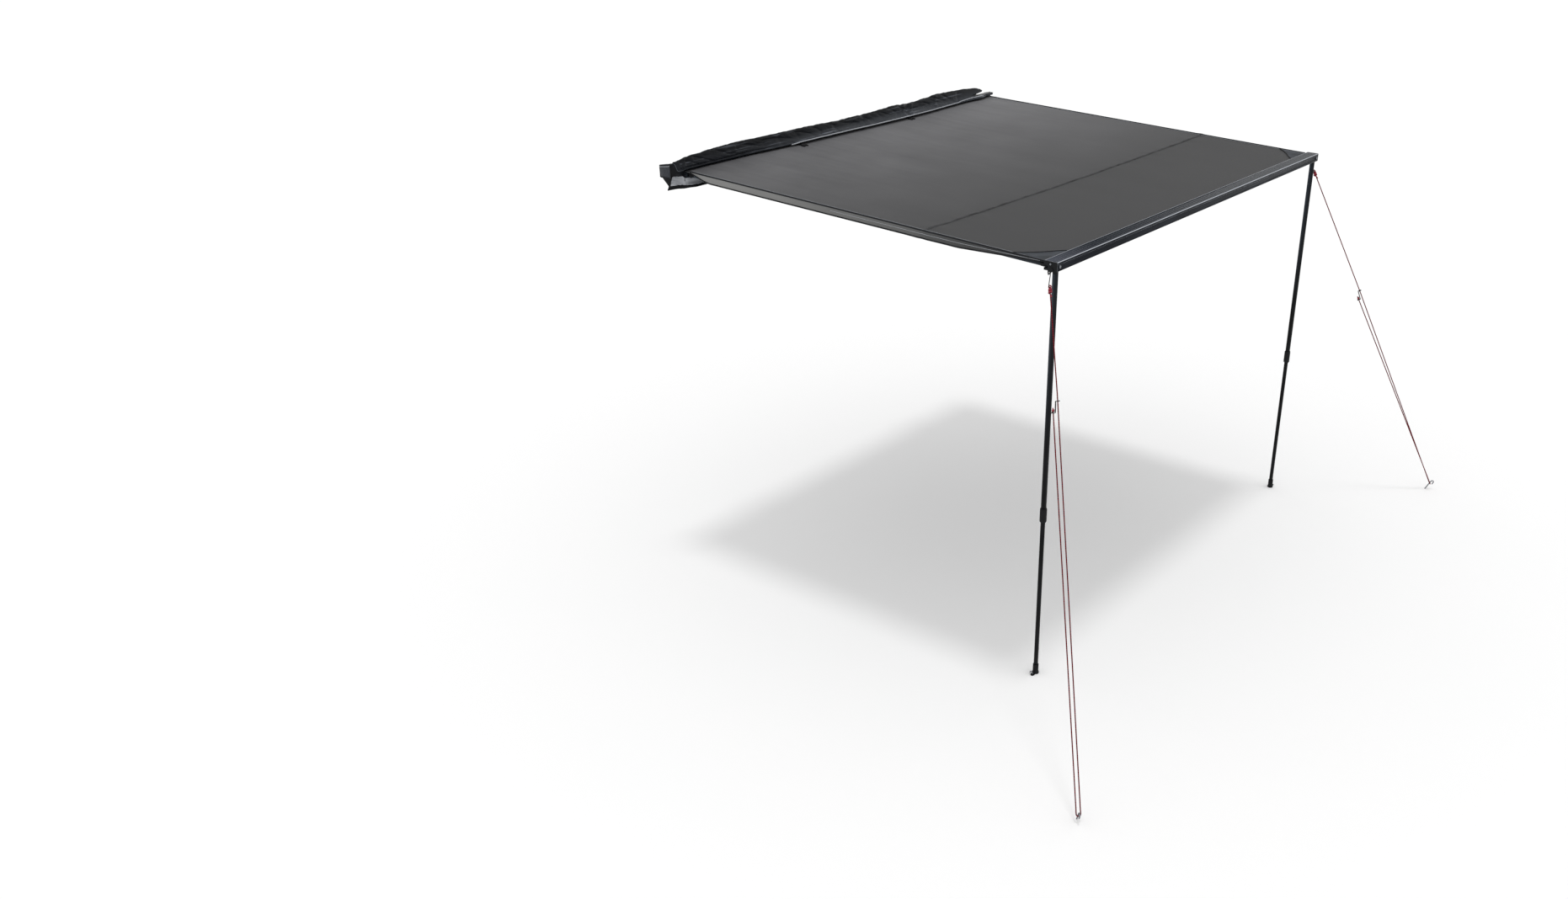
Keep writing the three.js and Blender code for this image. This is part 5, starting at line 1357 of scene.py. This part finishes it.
    def tape_point(self, across: float, along: float) -> Vector:
        """Gives the point of the seam tape.

        Args:
            across: Share along the seam, from left to right.
            along: Share across the tape, from back to front.

        Returns:
            The point.
        """
        x = (self.half_width - self.fold) * (across * 2 - 1)
        y = self.seam_y + self.seam_width * (0.5 - along)
        swell = (self.tape_rise + self.tape_swell.at(x)) * math.sin(math.pi * along) ** 0.5
        return Vector((x, y, self.level(x, y) + swell + self.tape_lift))

    def fold_point(self, side: Side, inset: float, y: float) -> Vector:
        """Gives a point on the cloth at an inset from one side's fold."""
        x = side.value * (self.half_width - inset)
        return Vector((x, y, self.level(x, y) + self.cord_lift))

    def band_point(self, side: Side, depth: float, out: float, y: float) -> Vector:
        """Gives a point outside a side band, at a share of its depth."""
        top = self.level(side.value * (self.half_width - self.fold), y)
        return Vector((side.value * (self.half_width + out), y, top - depth * self.band_depth(y)))

    def cords(self, side: Side) -> list[bpy.types.Object]:
        """Makes the welt and a pale stitch line along one side's fold, and those of its band; the pale lines are
        painted highlights.

        Args:
            side: The side.

        Returns:
            The four trims.
        """
        welt = partial(self.fold_point, side, 1.2 * MM)
        stitch = partial(self.fold_point, side, 13 * MM)
        binding = partial(self.band_point, side, 1.0, -0.4 * MM)
        hem = partial(self.band_point, side, 0.42, 0.5 * MM)
        made = []
        # The two thin stitch lines are pale: painted highlights along the fold and down the band.
        for name, point, radius, finish, start, end in (
            ("edge_welt", welt, 3.2 * MM, TAPE, 8 * MM, 13 * MM),
            ("edge_stitch", stitch, 1.2 * MM, STITCH_HIGHLIGHT, 40 * MM, 13 * MM),
            ("hem_binding", binding, 3.2 * MM, TAPE, 34 * MM, 26 * MM),
            ("hem_stitch", hem, 0.9 * MM, HIGHLIGHT_TAPE, 900 * MM, 26 * MM),
        ):
            first, last = self.back.y - start, self.front.y + end
            shares = [step / self.cord_steps for step in range(self.cord_steps + 1)]
            line = tube([point(first + (last - first) * share) for share in shares], radius)
            made.append(self.sewn(f"canopy_{name}_{side.label}", line, finish))
        return made

    def patch_point(self, side: Side, across: float, along: float) -> Vector:
        """Gives the point of a corner patch.

        Args:
            side: The corner's side.
            across: Share from the side hem inwards.
            along: Share from the front edge back towards the diagonal edge.

        Returns:
            The point.
        """
        x = side.value * (self.half_width - self.fold * 0.6 - across * self.patch_width)
        hollow = 1 - self.patch_hollow * math.sin(math.pi * across)
        back = along * (1 - across) * self.patch_length * hollow
        y = self.front.y + self.patch_gap + back
        inside = min(min(across, along, 1 - along * 0.98) * self.patch_rim, 1.0)
        lift = self.patch_lift + (self.patch_rise + self.patch_swell.at(x + 0.8 * y)) * inside
        return Vector((x, y, self.level(x, y) + lift))

    def corner(self, side: Side) -> list[bpy.types.Object]:
        """Makes the patch that is sewn on one front corner, with its bound diagonal edge.

        Args:
            side: The corner's side.

        Returns:
            The patch and its binding.
        """
        cells = self.patch_cells
        shape = mapped_grid(cells, cells, partial(self.patch_point, side))
        patch = self.sewn(f"canopy_corner_patch_{side.label}", shape, PATCH_CANVAS, 0.8 * MM)
        rest = Vector((0, 0, 1.6 * MM))
        line = [self.patch_point(side, step / cells, 1.0) + rest for step in range(cells)]
        bound = tube(line, 1.5 * MM)
        return [patch, self.sewn(f"canopy_patch_binding_{side.label}", bound, TAPE)]

    def build(self) -> None:
        """Makes the cloth, with its bands in a lit copy of the canvas that paints light and shade on them, and all that
        is sewn to it.
        """
        shape = mapped_grid(self.columns, self.rows, self.cloth_point)
        cloth = self.sewn("canopy_cloth", shape, CANVAS, self.wall)
        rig.replaces(cloth, "canopy")
        # The side bands take the lit copy of the canvas: painted light and shade.
        reface(cloth, BAND_LIT_CANVAS, self.is_band)
        tape = mapped_grid(400, 8, self.tape_point)
        parts = [self.sewn("canopy_seam_tape", tape, SEAM_TAPE, 0.5 * MM)]
        for side in Side:
            parts += [*self.cords(side), *self.corner(side)]
        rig.sheet(
            cloth, flat=(2 * (self.half_width + self.band), (self.back - self.front).length),
            held="stretched", rests_on=["back_rail", "front_rail"], with_pieces=parts,
        )


# Storage bag


@dataclass
class StorageBag:
    """The open bag: a top flap folded back on itself, a lower flap and two soft ends.

    The tables give millimetres: places along X with the height or the Y that the cloth
    has there, and profiles as Y and Z. Folds are given as place, lean, width and depth,
    and plans of the ends as X, Y, top and bottom. Spans give where a soft step starts and
    ends, and weaves how a point is laid in the field of creases.
    """

    near: float = -1314 * MM
    far: float = 1262 * MM
    wall: float = 1.4 * MM
    columns: int = 440
    crest_share: float = 5 / 15
    crest_width: float = 0.07
    crest_jag: Ripple = Ripple(1.9 * MM, 38, 3.0)
    crest_wave: Ripple = Ripple(1.5 * MM, 11, 4.0)
    root: float = 40.0
    shoulder: float = -36.0
    tip_reach: float = 108 * MM
    tip_levels: Span = (48 * MM, 60 * MM)
    tip_start: Span = (0.9, 1.03)
    tip_end: Span = (1.078, 1.066)
    top_weave: tuple[tuple[float, ...], ...] = ((8, 0, 22), (-2, 22, 0), (0, 0, 15))
    lower_weave: tuple[tuple[float, ...], ...] = ((11, 9, 0), (0, 22, 0), (0, 0, 16))
    end_weave: tuple[tuple[float, ...], ...] = ((0, 20, 0), (0, 0, 20), (10, 0, 0))
    fine_scale: float = 2.7
    free_part: Span = (0.0, 0.2)
    band_start: Span = (0.3, 0.42)
    band_end: Span = (0.9, 0.78)
    calm_end: Span = (1.1, 1.02)
    calm_share: float = 0.35
    calm_lip: Span = (0.76, 0.86)
    calm_lip_share: float = 0.85
    drift: Ripple = Ripple(2.2 * MM, 3.3, 1.3)
    crumple: Crumple = Crumple(2.6 * MM, 0.9 * MM, 3, 2.0)
    fine_crumple: Crumple = Crumple(0.9 * MM, 0.0, 2, 7.0)
    pleat_place: Span = (-1.2, -1.3)
    pleat_height: float = 2.6 * MM
    pleat_beats: float = 95.0
    lip_along: float = 0.79
    lip_drop: float = 0.1
    lip_drop_place: Span = (0.72, 1.12)
    piping_start: Span = (0.3, 0.34)
    piping_end: Span = (0.96, 0.94)
    piping_sunk: float = -4 * MM
    piping_shown: float = 5 * MM
    lower_start: float = -1334 * MM
    lower_length: float = 2630 * MM
    root_drawn: Span = (-1.257, -1.269)
    edge_drawn: Span = (-1.2, -1.33)
    raised_place: Span = (-1.06, -1.13)
    closed_place: Span = (1.13, 1.23)
    lower_crumple: Crumple = Crumple(2.6 * MM, 1.2 * MM, 2, 4.0)
    lower_wave: Ripple = Ripple(2.0 * MM, 6, 9.2)
    lower_pleat: Ripple = Ripple(2.4 * MM, 60, 2.7)
    end_crumple: Crumple = Crumple(1.8 * MM, 0.6 * MM, 2, 3.0)
    end_dent: float = 2.2 * MM
    end_beats: float = 34.0
    end_pleats: Span = (0.48, 0.4)
    end_pleats_least: float = 0.3
    end_tip: float = 50 * MM
    end_tip_place: Span = (0.475, 0.13)
    lean: float = 28 * MM
    lean_power: float = 1.4
    lean_pinch: float = 0.3
    square_near: float = 0.41
    square_far: float = 0.715
    square_floor: float = -3 * MM
    crest: Sequence[Span] = (
        (-1314, 70), (-1210, 83), (-1050, 90), (-890, 94), (-700, 92), (-460, 90), (-100, 83),
        (40, 85), (300, 93), (480, 89), (600, 95), (720, 101), (840, 98), (940, 96), (990, 89),
        (1030, 78), (1050, 69), (1068, 50), (1100, 44), (1262, 40),
    )
    lip: Sequence[Span] = (
        (-1314, -34), (-1280, -38), (-1100, -34), (-860, -35), (-600, -50), (-400, -60),
        (-100, -63), (100, -70), (320, -71), (550, -67), (810, -53), (1000, -46), (1120, -52),
        (1165, -45), (1192, -33), (1262, -33),
    )
    folds: Sequence[tuple[float, float, float, float]] = (
        (-1296, 6, 7, 4.5), (-1279, -8, 8, -4.0), (-1262, 5, 7, 3.5), (-1243, 12, 9, -3.0),
        (-1214, 20, 10, 2.5), (-1080, 70, 16, -1.8), (-930, 60, 14, 1.6), (-610, -60, 16, -2.0),
        (-210, 55, 14, 2.2), (20, 50, 10, 2.4), (52, 40, 9, -2.2), (90, 60, 12, 2.0),
        (395, 60, 11, 4.2), (428, 70, 10, -4.4), (462, 60, 12, 3.8), (690, 60, 12, 2.4),
        (905, 40, 12, -2.6),
    )
    flat_lower: Sequence[Span] = (
        (-14, -39.5), (-20, -43.5), (-34, -48), (-50, -48.5), (-62, -44), (-69, -37.5),
    )
    raised_lower: Sequence[Span] = (
        (-21.8, -17), (-22.6, -28), (-26, -38), (-35, -46), (-45, -52), (-51, -57),
    )
    closed_lower: Sequence[Span] = (
        (-14, -39.5), (-20, -43.5), (-28, -47), (-36, -49), (-43, -50), (-49, -49),
    )
    gathered_lower: Sequence[Span] = ((8, 22), (6, 2), (3, -18), (3, -34), (8, -49), (13, -61))
    near_plan: Sequence[tuple[float, float, float, float]] = (
        (-1258, -27, 24, -6), (-1286, -33, 26, 0), (-1308, -35, 30, 3), (-1322, -31, 62, 5),
        (-1333, -20, 65, 5), (-1338, -10, 62, 4), (-1340, 18, 57, -2), (-1339, 46, 52, -7),
        (-1333, 55, 50, -8), (-1316, 57, 48, -8), (-1289, 50, 46, -4), (-1264, 36, 44, 0),
    )
    far_plan: Sequence[tuple[float, float, float, float]] = (
        (1259, -40, 4, -46), (1276, -50, 5, -49), (1292, -47, 6, -51), (1299, -30, 8, -51),
        (1300, -2, 18, -51), (1299, 20, 26, -49), (1292, 34, 26, -46), (1276, 40, 22, -42),
        (1259, 36, 18, -40),
    )

    def on_profile(self, profile: Sequence[tuple[float, ...]], share: float) -> Vector:
        """Finds a point of the smooth line through a profile's points.

        Args:
            profile: The points, in millimetres.
            share: Place along it from 0 to 1.

        Returns:
            The point in metres, with as many numbers as the profile's points.
        """
        last = len(profile) - 1
        place = min(max(share, 0.0), 1.0) * last
        index = min(int(place), last - 1)
        part = place - index
        a, b, c, d = (Vector(profile[min(max(index + step, 0), last)]) for step in (-1, 0, 1, 2))
        curve = 2 * b + (c - a) * part + (2 * a - 5 * b + 4 * c - d) * part ** 2
        return (curve + (3 * b - a - 3 * c + d) * part ** 3) * 0.5 * MM

    def soft(
        self, name: str, shape: bmesh.types.BMesh, finish: Finish, node: str
    ) -> bpy.types.Object:
        """Keeps a soft part of the bag in place of its node.

        Args:
            name: The piece's name.
            shape: Its mesh, an open sheet.
            finish: Its finish.
            node: The node that it replaces.

        Returns:
            The piece.
        """
        piece = keep(name, shape, finish, "rail_assembly", "vinyl", wall=self.wall)
        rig.replaces(piece, node)
        return piece

    def trim(
        self, name: str, line: Sequence[Vector], radius: float, finish: Finish,
        closed: bool = False,
    ) -> bpy.types.Object:
        """Keeps a corded trim of the bag.

        Args:
            name: The trim's name.
            line: Its centre line.
            radius: Its radius.
            finish: Its finish.
            closed: Whether the line closes on itself.

        Returns:
            The trim.
        """
        return keep(name, tube(line, radius, closed), finish, "rail_assembly", "webbing")

    def section(self, x: float) -> list[Span]:
        """Gives the top flap's profile at a place, from its root to its free edge.

        Args:
            x: The place along the rail.

        Returns:
            Points as Y and Z in millimetres.
        """
        crest, lip = eased(self.crest, x / MM), eased(self.lip, x / MM)
        rises = (
            (-9, 0.1), (-6, 0.35), (-8, 0.68), (-13, 0.92), (-20, 1.0), (-26, 0.93), (-29, 0.75),
            (-31, 0.52), (-34, 0.28), (self.shoulder + (lip - self.shoulder) * 0.45, 0.05),
        )
        return [
            (-14, 39.5), *((y, self.root + share * (crest - self.root)) for y, share in rises),
            (min(lip + 5, -30), 36), (lip, 31), (lip + 3, 26.5), (min(lip + 10, -25), 25.5),
            (min(lip + 16, -23.5), 28),
        ]

    def relief(self, point: Vector, along: float) -> float:
        """Gives how far the top flap's folds and creases stand out of its profile.

        Args:
            point: The profile's point.
            along: Share from the root to the free edge.

        Returns:
            The distance along the profile's normal.
        """
        x, spot = point.x, Matrix(self.top_weave) @ point
        free = rise(along, *self.free_part)
        band = rise(along, *self.band_start) * rise(along, *self.band_end)
        out = self.drift.at(x, along) * free
        out -= self.crumple.at(spot) * free
        out -= self.fine_crumple.at(spot * self.fine_scale) * band
        for start, lean, width, depth in self.folds:
            out += depth * MM * hump(x / MM, start + lean * (0.55 - along), width) * band
        pleats = self.pleat_height * rolling(x * self.pleat_beats, 5.0 + along * 2)
        return out + pleats * rise(x, *self.pleat_place) * free

    def top_point(self, across: float, along: float) -> Vector:
        """Gives the point of the top flap for shares along the rail and along its profile.

        Args:
            across: Share from the left end to the right end.
            along: Share from the root to the free edge.

        Returns:
            The point, with its folds, creases and ragged crest.
        """
        x = self.near + (self.far - self.near) * across
        section = self.section(x)
        y, z = self.on_profile(section, along)
        ahead = self.on_profile(section, along + 0.01) - self.on_profile(section, along - 0.01)
        ahead = ahead.normalized()
        lively = rise(x, *self.calm_end)
        out = self.relief(Vector((x, y, z)), along)
        out *= self.calm_share + (1 - self.calm_share) * lively
        out *= 1 - self.calm_lip_share * rise(along, *self.calm_lip)
        lift = (self.crest_jag.at(x) + self.crest_wave.at(x)) * lively
        lift *= hump(along, self.crest_share, self.crest_width)
        reach = self.tip_reach * rise(z, *self.tip_levels)
        reach *= rise(x, *self.tip_start) * rise(x, *self.tip_end)
        return Vector((x + reach, y + out * ahead.y, z + lift - out * ahead.x))

    def top_flap(self) -> list[bpy.types.Object]:
        """Makes the flap that is folded back on itself, and its piping, pale with painted highlights.

        Returns:
            The flap, the piping on its crest and the piping on its lip.
        """
        shape = mapped_grid(self.columns, 60, self.top_point)
        flap = self.soft("bag_top_flap", shape, FLAP_VINYL, "bag_flap")
        on_top = Vector((0, -0.4 * MM, 0.3 * MM))
        line = [
            self.top_point(step / self.columns, self.crest_share) + on_top
            for step in range(2, self.columns - 40, 2)
        ]
        # The crest's piping is pale grey: a painted highlight.
        piping = self.trim("bag_crest_piping", line, 1.2 * MM, LIT_TAPE)
        return [flap, piping, self.lip_piping()]

    def lip_piping(self) -> bpy.types.Object:
        """Makes the piping that runs along the rolled lip, pale as a painted highlight, and sinks in at both ends.

        Returns:
            The piping.
        """
        line = []
        for step in range(self.columns * 3 // 10, self.columns * 96 // 100, 2):
            share = step / self.columns
            x = self.near + (self.far - self.near) * share
            along = self.lip_along - self.lip_drop * rise(x, *self.lip_drop_place)
            place = self.top_point(share, along)
            shown = rise(share, *self.piping_start) * rise(share, *self.piping_end)
            height = self.piping_sunk + self.piping_shown * shown
            line.append(place + Vector((0, -1.0 * MM, height)))
        return self.trim("bag_lip_piping", line, 2.8 * MM, HIGHLIGHT_TAPE)

    def lower_point(self, across: float, along: float) -> Vector:
        """Gives the point of the lower flap for shares along the rail and across the flap.

        Args:
            across: Share from the left end to the right end.
            along: Share from the root to the free edge.

        Returns:
            The point, which draws together towards the left end's tip.
        """
        x = self.lower_start + self.lower_length * across
        root_gather, edge_gather = rise(x, *self.root_drawn), rise(x, *self.edge_drawn)
        gather = root_gather + (edge_gather - root_gather) * along
        flat = self.on_profile(self.flat_lower, along)
        for profile, share in (
            (self.raised_lower, rise(x, *self.raised_place)),
            (self.closed_lower, rise(x, *self.closed_place)),
            (self.gathered_lower, gather),
        ):
            flat = flat.lerp(self.on_profile(profile, along), share)
        y, z = flat
        crease = self.lower_crumple.at(Matrix(self.lower_weave) @ Vector((x, y, z)))
        crease *= rise(along, 0.0, 0.3)
        wave = self.lower_wave.at(x) * along
        pleat = self.lower_pleat.at(x + 2 * z) * rise(along, 0.0, 0.2) * rise(along, 1.0, 0.8)
        ruffle = (wave + crease) * (1 - gather) + crease * gather * 0.5
        return Vector((x, y - pleat * gather, z + ruffle))

    def is_lining(self, face: bpy.types.MeshPolygon) -> bool:
        """Says whether a face of the lower flap takes the pale painted sky reflection: its upward faces, and at the
        left end its inner faces above the black edge.

        Args:
            face: The face.

        Returns:
            Whether it takes the pale painted sky reflection.
        """
        x, y, z = face.center / MM
        if x > -1092:
            return face.normal.z > 0.35 and x < 1240
        inner = face.normal.z > face.normal.y
        return inner and z > -50 + 6 * rise(x, -1200, -1300)

    def lower_flap(self) -> list[bpy.types.Object]:
        """Makes the flap that hangs open below the canopy: pale grey above as a painted sky reflection, black below.

        Returns:
            The flap and the binding along its edge.
        """
        shape = mapped_grid(self.columns, 26, self.lower_point)
        flap = self.soft("bag_lower_flap", shape, VINYL, "bag_tray")
        # Its upward faces take pale grey: a painted reflection of the sky.
        reface(flap, VINYL_SKY_LIT, self.is_lining)
        line = [self.lower_point(step / 110, 1.0) for step in range(111)]
        return [flap, self.trim("bag_lower_binding", line, 3.2 * MM, TAPE)]

    def end_point(self, side: Side, across: float, along: float) -> Vector:
        """Gives the point of a soft end for shares round it and down it.

        Args:
            side: The end.
            across: Share round the end, from the flap's side to behind the rail.
            along: Share from the top edge down.

        Returns:
            The point; the left end's lower edge runs out to a tip.
        """
        plan = self.near_plan if side is Side.LEFT else self.far_plan
        x, y, top, bottom = (
            self.on_profile([entry[number:number + 1] * 2 for entry in plan], across)[0]
            for number in range(4)
        )
        if side is Side.LEFT:
            middle, width = self.end_tip_place
            bottom -= self.end_tip * max(0.0, 1 - abs(across - middle) / width)
        else:
            inward = math.sin(math.pi * across) * (1 - along) ** self.lean_power
            x -= self.lean * inward
            y *= 1 - self.lean_pinch * inward
        z = top + (bottom - top) * along
        pleats = rise(across, *self.end_pleats) + self.end_pleats_least
        dent = self.end_dent * pleats * rolling(across * self.end_beats, 1.5 + along * 1.6)
        dent += self.end_crumple.at(Matrix(self.end_weave) @ Vector((x, y, z)))
        return Vector((x - side.value * dent * 0.8, y + dent * 0.5 * pleats, z))

    def square_point(self, across: float, down: float) -> Vector:
        """Gives a point of the left end's square.

        Args:
            across: Share across it, from the flap's side to behind the rail.
            down: Share down it.

        Returns:
            The point, just outside the cover.
        """
        place = self.square_near + (self.square_far - self.square_near) * across
        top, bottom = (self.end_point(Side.LEFT, place, along).z for along in (0.02, 1.0))
        share = 0.02 + 0.98 * down * (top - self.square_floor) / (top - bottom)
        return self.end_point(Side.LEFT, place, share) + Vector((-1.6 * MM, 0, 0))

    def is_square(self, face: bpy.types.MeshPolygon) -> bool:
        """Says whether a face of the left end lies in its piped square."""
        x, y, z = face.center
        return x < -1328 * MM and -14 * MM < y < 54 * MM and z > self.square_floor

    def square(self, cover: bpy.types.Object) -> list[bpy.types.Object]:
        """Gives the left end its square: a greyer face, a piping round it and a pale painted highlight line near its
        top.

        Args:
            cover: The left end's cover.

        Returns:
            The piping and the painted highlight line.
        """
        reface(cover, VINYL_FACING, self.is_square)
        steps = [step / 8 for step in range(8)]
        corners = (
            [(0.0, 1 - step) for step in steps] + [(step, 0.0) for step in steps]
            + [(1.0, step) for step in steps] + [(1 - step, 1.0) for step in steps]
        )
        outline = [self.square_point(*corner) for corner in corners]
        # A pale line near the top of the square: a painted highlight.
        lit = [self.square_point(0.07 + 0.86 * step, 0.12) for step in (*steps, 1.0)]
        return [
            self.trim("bag_end_square_piping", outline, 2.2 * MM, TAPE, closed=True),
            self.trim("bag_end_square_edge", lit, 1.3 * MM, HIGHLIGHT_TAPE),
        ]

    def soft_end(self, side: Side) -> list[bpy.types.Object]:
        """Makes the soft cover of one end, and the piped square of the left one.

        Args:
            side: The end.

        Returns:
            The cover and its piping.
        """
        label = side.label
        shape = mapped_grid(60, 34, partial(self.end_point, side))
        cover = self.soft(f"bag_end_cover_{label}", shape, VINYL, f"bag_end_{label}")
        line = [self.end_point(side, 0.02 + 0.96 * step / 30, 0.0) for step in range(31)]
        # The piping on the top edge is pale grey: a painted highlight.
        piping = self.trim(f"bag_end_piping_{label}", line, 1.6 * MM, LIT_TAPE)
        return [cover, piping, *(self.square(cover) if side is Side.LEFT else ())]

    def build(self) -> None:
        """Makes the flaps, their edges and the two ends."""
        flap, *piping = self.top_flap()
        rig.sheet(
            flap, flat=(2.576, 0.15), held="folded", rests_on=["back_rail"], with_pieces=piping
        )
        lower, bound = self.lower_flap()
        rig.sheet(
            lower, flat=(2.63, 0.064), held="hung", rests_on=["back_rail"], with_pieces=[bound]
        )
        for side, flat in ((Side.LEFT, (0.25, 0.054)), (Side.RIGHT, (0.17, 0.056))):
            cover, *trims = self.soft_end(side)
            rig.sheet(cover, flat=flat, held="hung", rests_on=[flap, lower], with_pieces=trims)


# Straps of the bag


@dataclass
class BagStrap:
    """A webbing strap that lies over the canopy's back edge and ends in a buckle."""

    side: Side
    wall: float = 1.4 * MM
    half_width: float = 12 * MM
    ripple: float = 0.35 * MM
    inset: float = 0.9 * MM
    lift: float = 1.1 * MM
    bends: tuple[Span, Span] = ((1.5, 5.5), (6.0, 2.2))

    @property
    def line(self) -> list[Vector]:
        """The strap's middle line, from the rail's face over its bends, in mm, to the buckle.

        Returns:
            Points along the line.
        """
        low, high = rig.box(f"bag_strap_{self.side.label}")
        x, start, end = (low.x + high.x) / 2, high.y - self.inset, low.z + self.lift
        bent = [Vector((x, start - out * MM, end + up * MM)) for out, up in self.bends]
        return [Vector((x, start, high.z)), *bent, Vector((x, low.y, end))]

    def strap_point(self, line: Sequence[Vector], across: float, along: float) -> Vector:
        """Gives a point of the strap.

        Args:
            line: The strap's middle line.
            across: Share across the webbing.
            along: Share along the line.

        Returns:
            The point, with a slight ripple.
        """
        share = along * (len(line) - 1)
        index = min(int(share), len(line) - 2)
        ripple = self.ripple * math.sin(along * 19 + across * 2) * along
        aside = Vector(((across - 0.5) * 2 * self.half_width, 0, ripple))
        return line[index].lerp(line[index + 1], share - index) + aside

    def build(self) -> None:
        """Makes the strap in place of its solid."""
        label = self.side.label
        shape = mapped_grid(6, 36, partial(self.strap_point, self.line))
        name = f"bag_strap_webbing_{label}"
        piece = keep(name, shape, TAPE, "rail_assembly", "webbing", wall=self.wall)
        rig.replaces(piece, f"bag_strap_{label}")


# Cap screws


@dataclass
class CapScrew:
    """The pan-head screw that holds one end cap to the front rail."""

    side: Side
    radius: float = 4.2 * MM
    height: float = 1.9 * MM
    rim: float = 0.7 * MM
    socket: float = 1.7 * MM
    socket_depth: float = 0.9 * MM
    socket_taper: float = 0.3 * MM
    face: Vector = field(default_factory=lambda: Vector((1254.3, -2055.5, -60.5)) * MM)

    def build(self) -> None:
        """Makes the head on the cap's face, with its rounded rim and sunk drive."""
        shape = bmesh.new()
        bmesh.ops.create_cone(
            shape, cap_ends=True, segments=24, radius1=self.radius, radius2=self.radius,
            depth=self.height,
        )
        rim = [edge for edge in shape.edges if all(point.co.z > 0 for point in edge.verts)]
        bmesh.ops.bevel(
            shape, geom=rim, offset=self.rim, segments=3, profile=0.5, affect="EDGES", material=-1
        )
        top = [face for face in shape.faces if face.normal.z > 0.99]
        land = self.radius - self.rim - self.socket
        bmesh.ops.inset_region(shape, faces=top, thickness=land, depth=0.0)
        middle = [face for face in top if face.is_valid]
        bmesh.ops.inset_region(
            shape, faces=middle, thickness=self.socket_taper, depth=-self.socket_depth
        )
        outward = Vector((self.side.value, 0, 0))
        place = Vector((0, self.face.y, self.face.z)) + outward * (self.face.x + self.height / 2)
        turn = Vector((0, 0, 1)).rotation_difference(outward).to_matrix().to_4x4()
        bmesh.ops.transform(shape, verts=shape.verts, matrix=Matrix.Translation(place) @ turn)
        keep(f"cap_screw_{self.side.label}", shape, ZINC, "front_rail", "steel")


# Finishes of the frame's own parts


@dataclass
class Hardware:
    """The rails, tubes, fittings and fasteners, which keep their own solids."""

    edge: float = 0.35 * MM
    rail_edge: float = 1.1 * MM
    sharp: float = math.radians(38)
    finishes: tuple[tuple[Finish, tuple[str, ...]], ...] = (
        (NYLON, (
            "back_rail_cap", "front_rail_cap", "rafter_knuckle", "rafter_lock", "rafter_tip",
            "leg_knuckle", "leg_lock", "leg_foot", "strap_buckle",
        )),
        (ANODISED, ("back_rail",)),
        (FRONT_ANODISED, ("front_rail",)),
        (POWDER_COAT, (
            "mount_bracket", "rafter_clevis", "rafter_outer_tube", "rafter_inner_tube",
            "leg_outer_tube", "leg_inner_tube",
        )),
        (ZINC, ("bracket_bolt", "bracket_nut", "rafter_pin", "leg_bolt", "leg_peg", "guy_peg")),
        (BLACK_STEEL, ("guy_hook", "guy_runner")),
    )

    def build(self) -> None:
        """Gives each rigid node its finish, smooth rounds and softly broken edges, which on the rails take a pale
        painted highlight.
        """
        for name, node in frame["nodes"].items():
            finish = next((made for made, starts in self.finishes if name.startswith(starts)), None)
            if finish is None or node.hide_render:
                continue
            node.data.materials.clear()
            node.data.materials.append(finish.material())
            node.data.shade_smooth()
            weld = node.modifiers.new("weld", "WELD")
            weld.merge_threshold = WELD_REACH
            bevel = node.modifiers.new("edges", "BEVEL")
            bevel.width = self.edge
            bevel.segments = 2
            bevel.limit_method = "ANGLE"
            bevel.angle_limit = self.sharp
            bevel.use_clamp_overlap = True
            bevel.harden_normals = True
            # On the rails, the bevels take pale grey: a painted highlight along every edge.
            if isinstance(finish, AnodisedAluminium):
                node.data.materials.append(BEVEL_HIGHLIGHT.material())
                bevel.width = self.rail_edge
                bevel.material = 1
            LOG.info("dressed %s", name)


def main() -> None:
    """Builds the studio and every sub-assembly, and reports each one."""
    logging.basicConfig(level=logging.INFO, format="%(name)s: %(message)s")
    Studio().build()
    ropes = [GuyRope(Side.LEFT, 3.595, LEFT_ROUTE), GuyRope(Side.RIGHT, 3.207, RIGHT_ROUTE)]
    straps = [BagStrap(side) for side in Side]
    screws = [CapScrew(side) for side in Side]
    for assembly in (*ropes, Canopy(), StorageBag(), *straps, *screws, Hardware()):
        assembly.build()
        LOG.info("built %s", type(assembly).__name__)
    bpy.context.view_layer.update()
    boxes = {
        "cad": [list(corner) for corner in CAD_BOX],
        "scene": [list(corner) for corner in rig.bounds()],
    }
    with open("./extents.json", "w", encoding="utf-8") as out:
        json.dump(boxes, out)


if __name__ == "__main__":
    main()
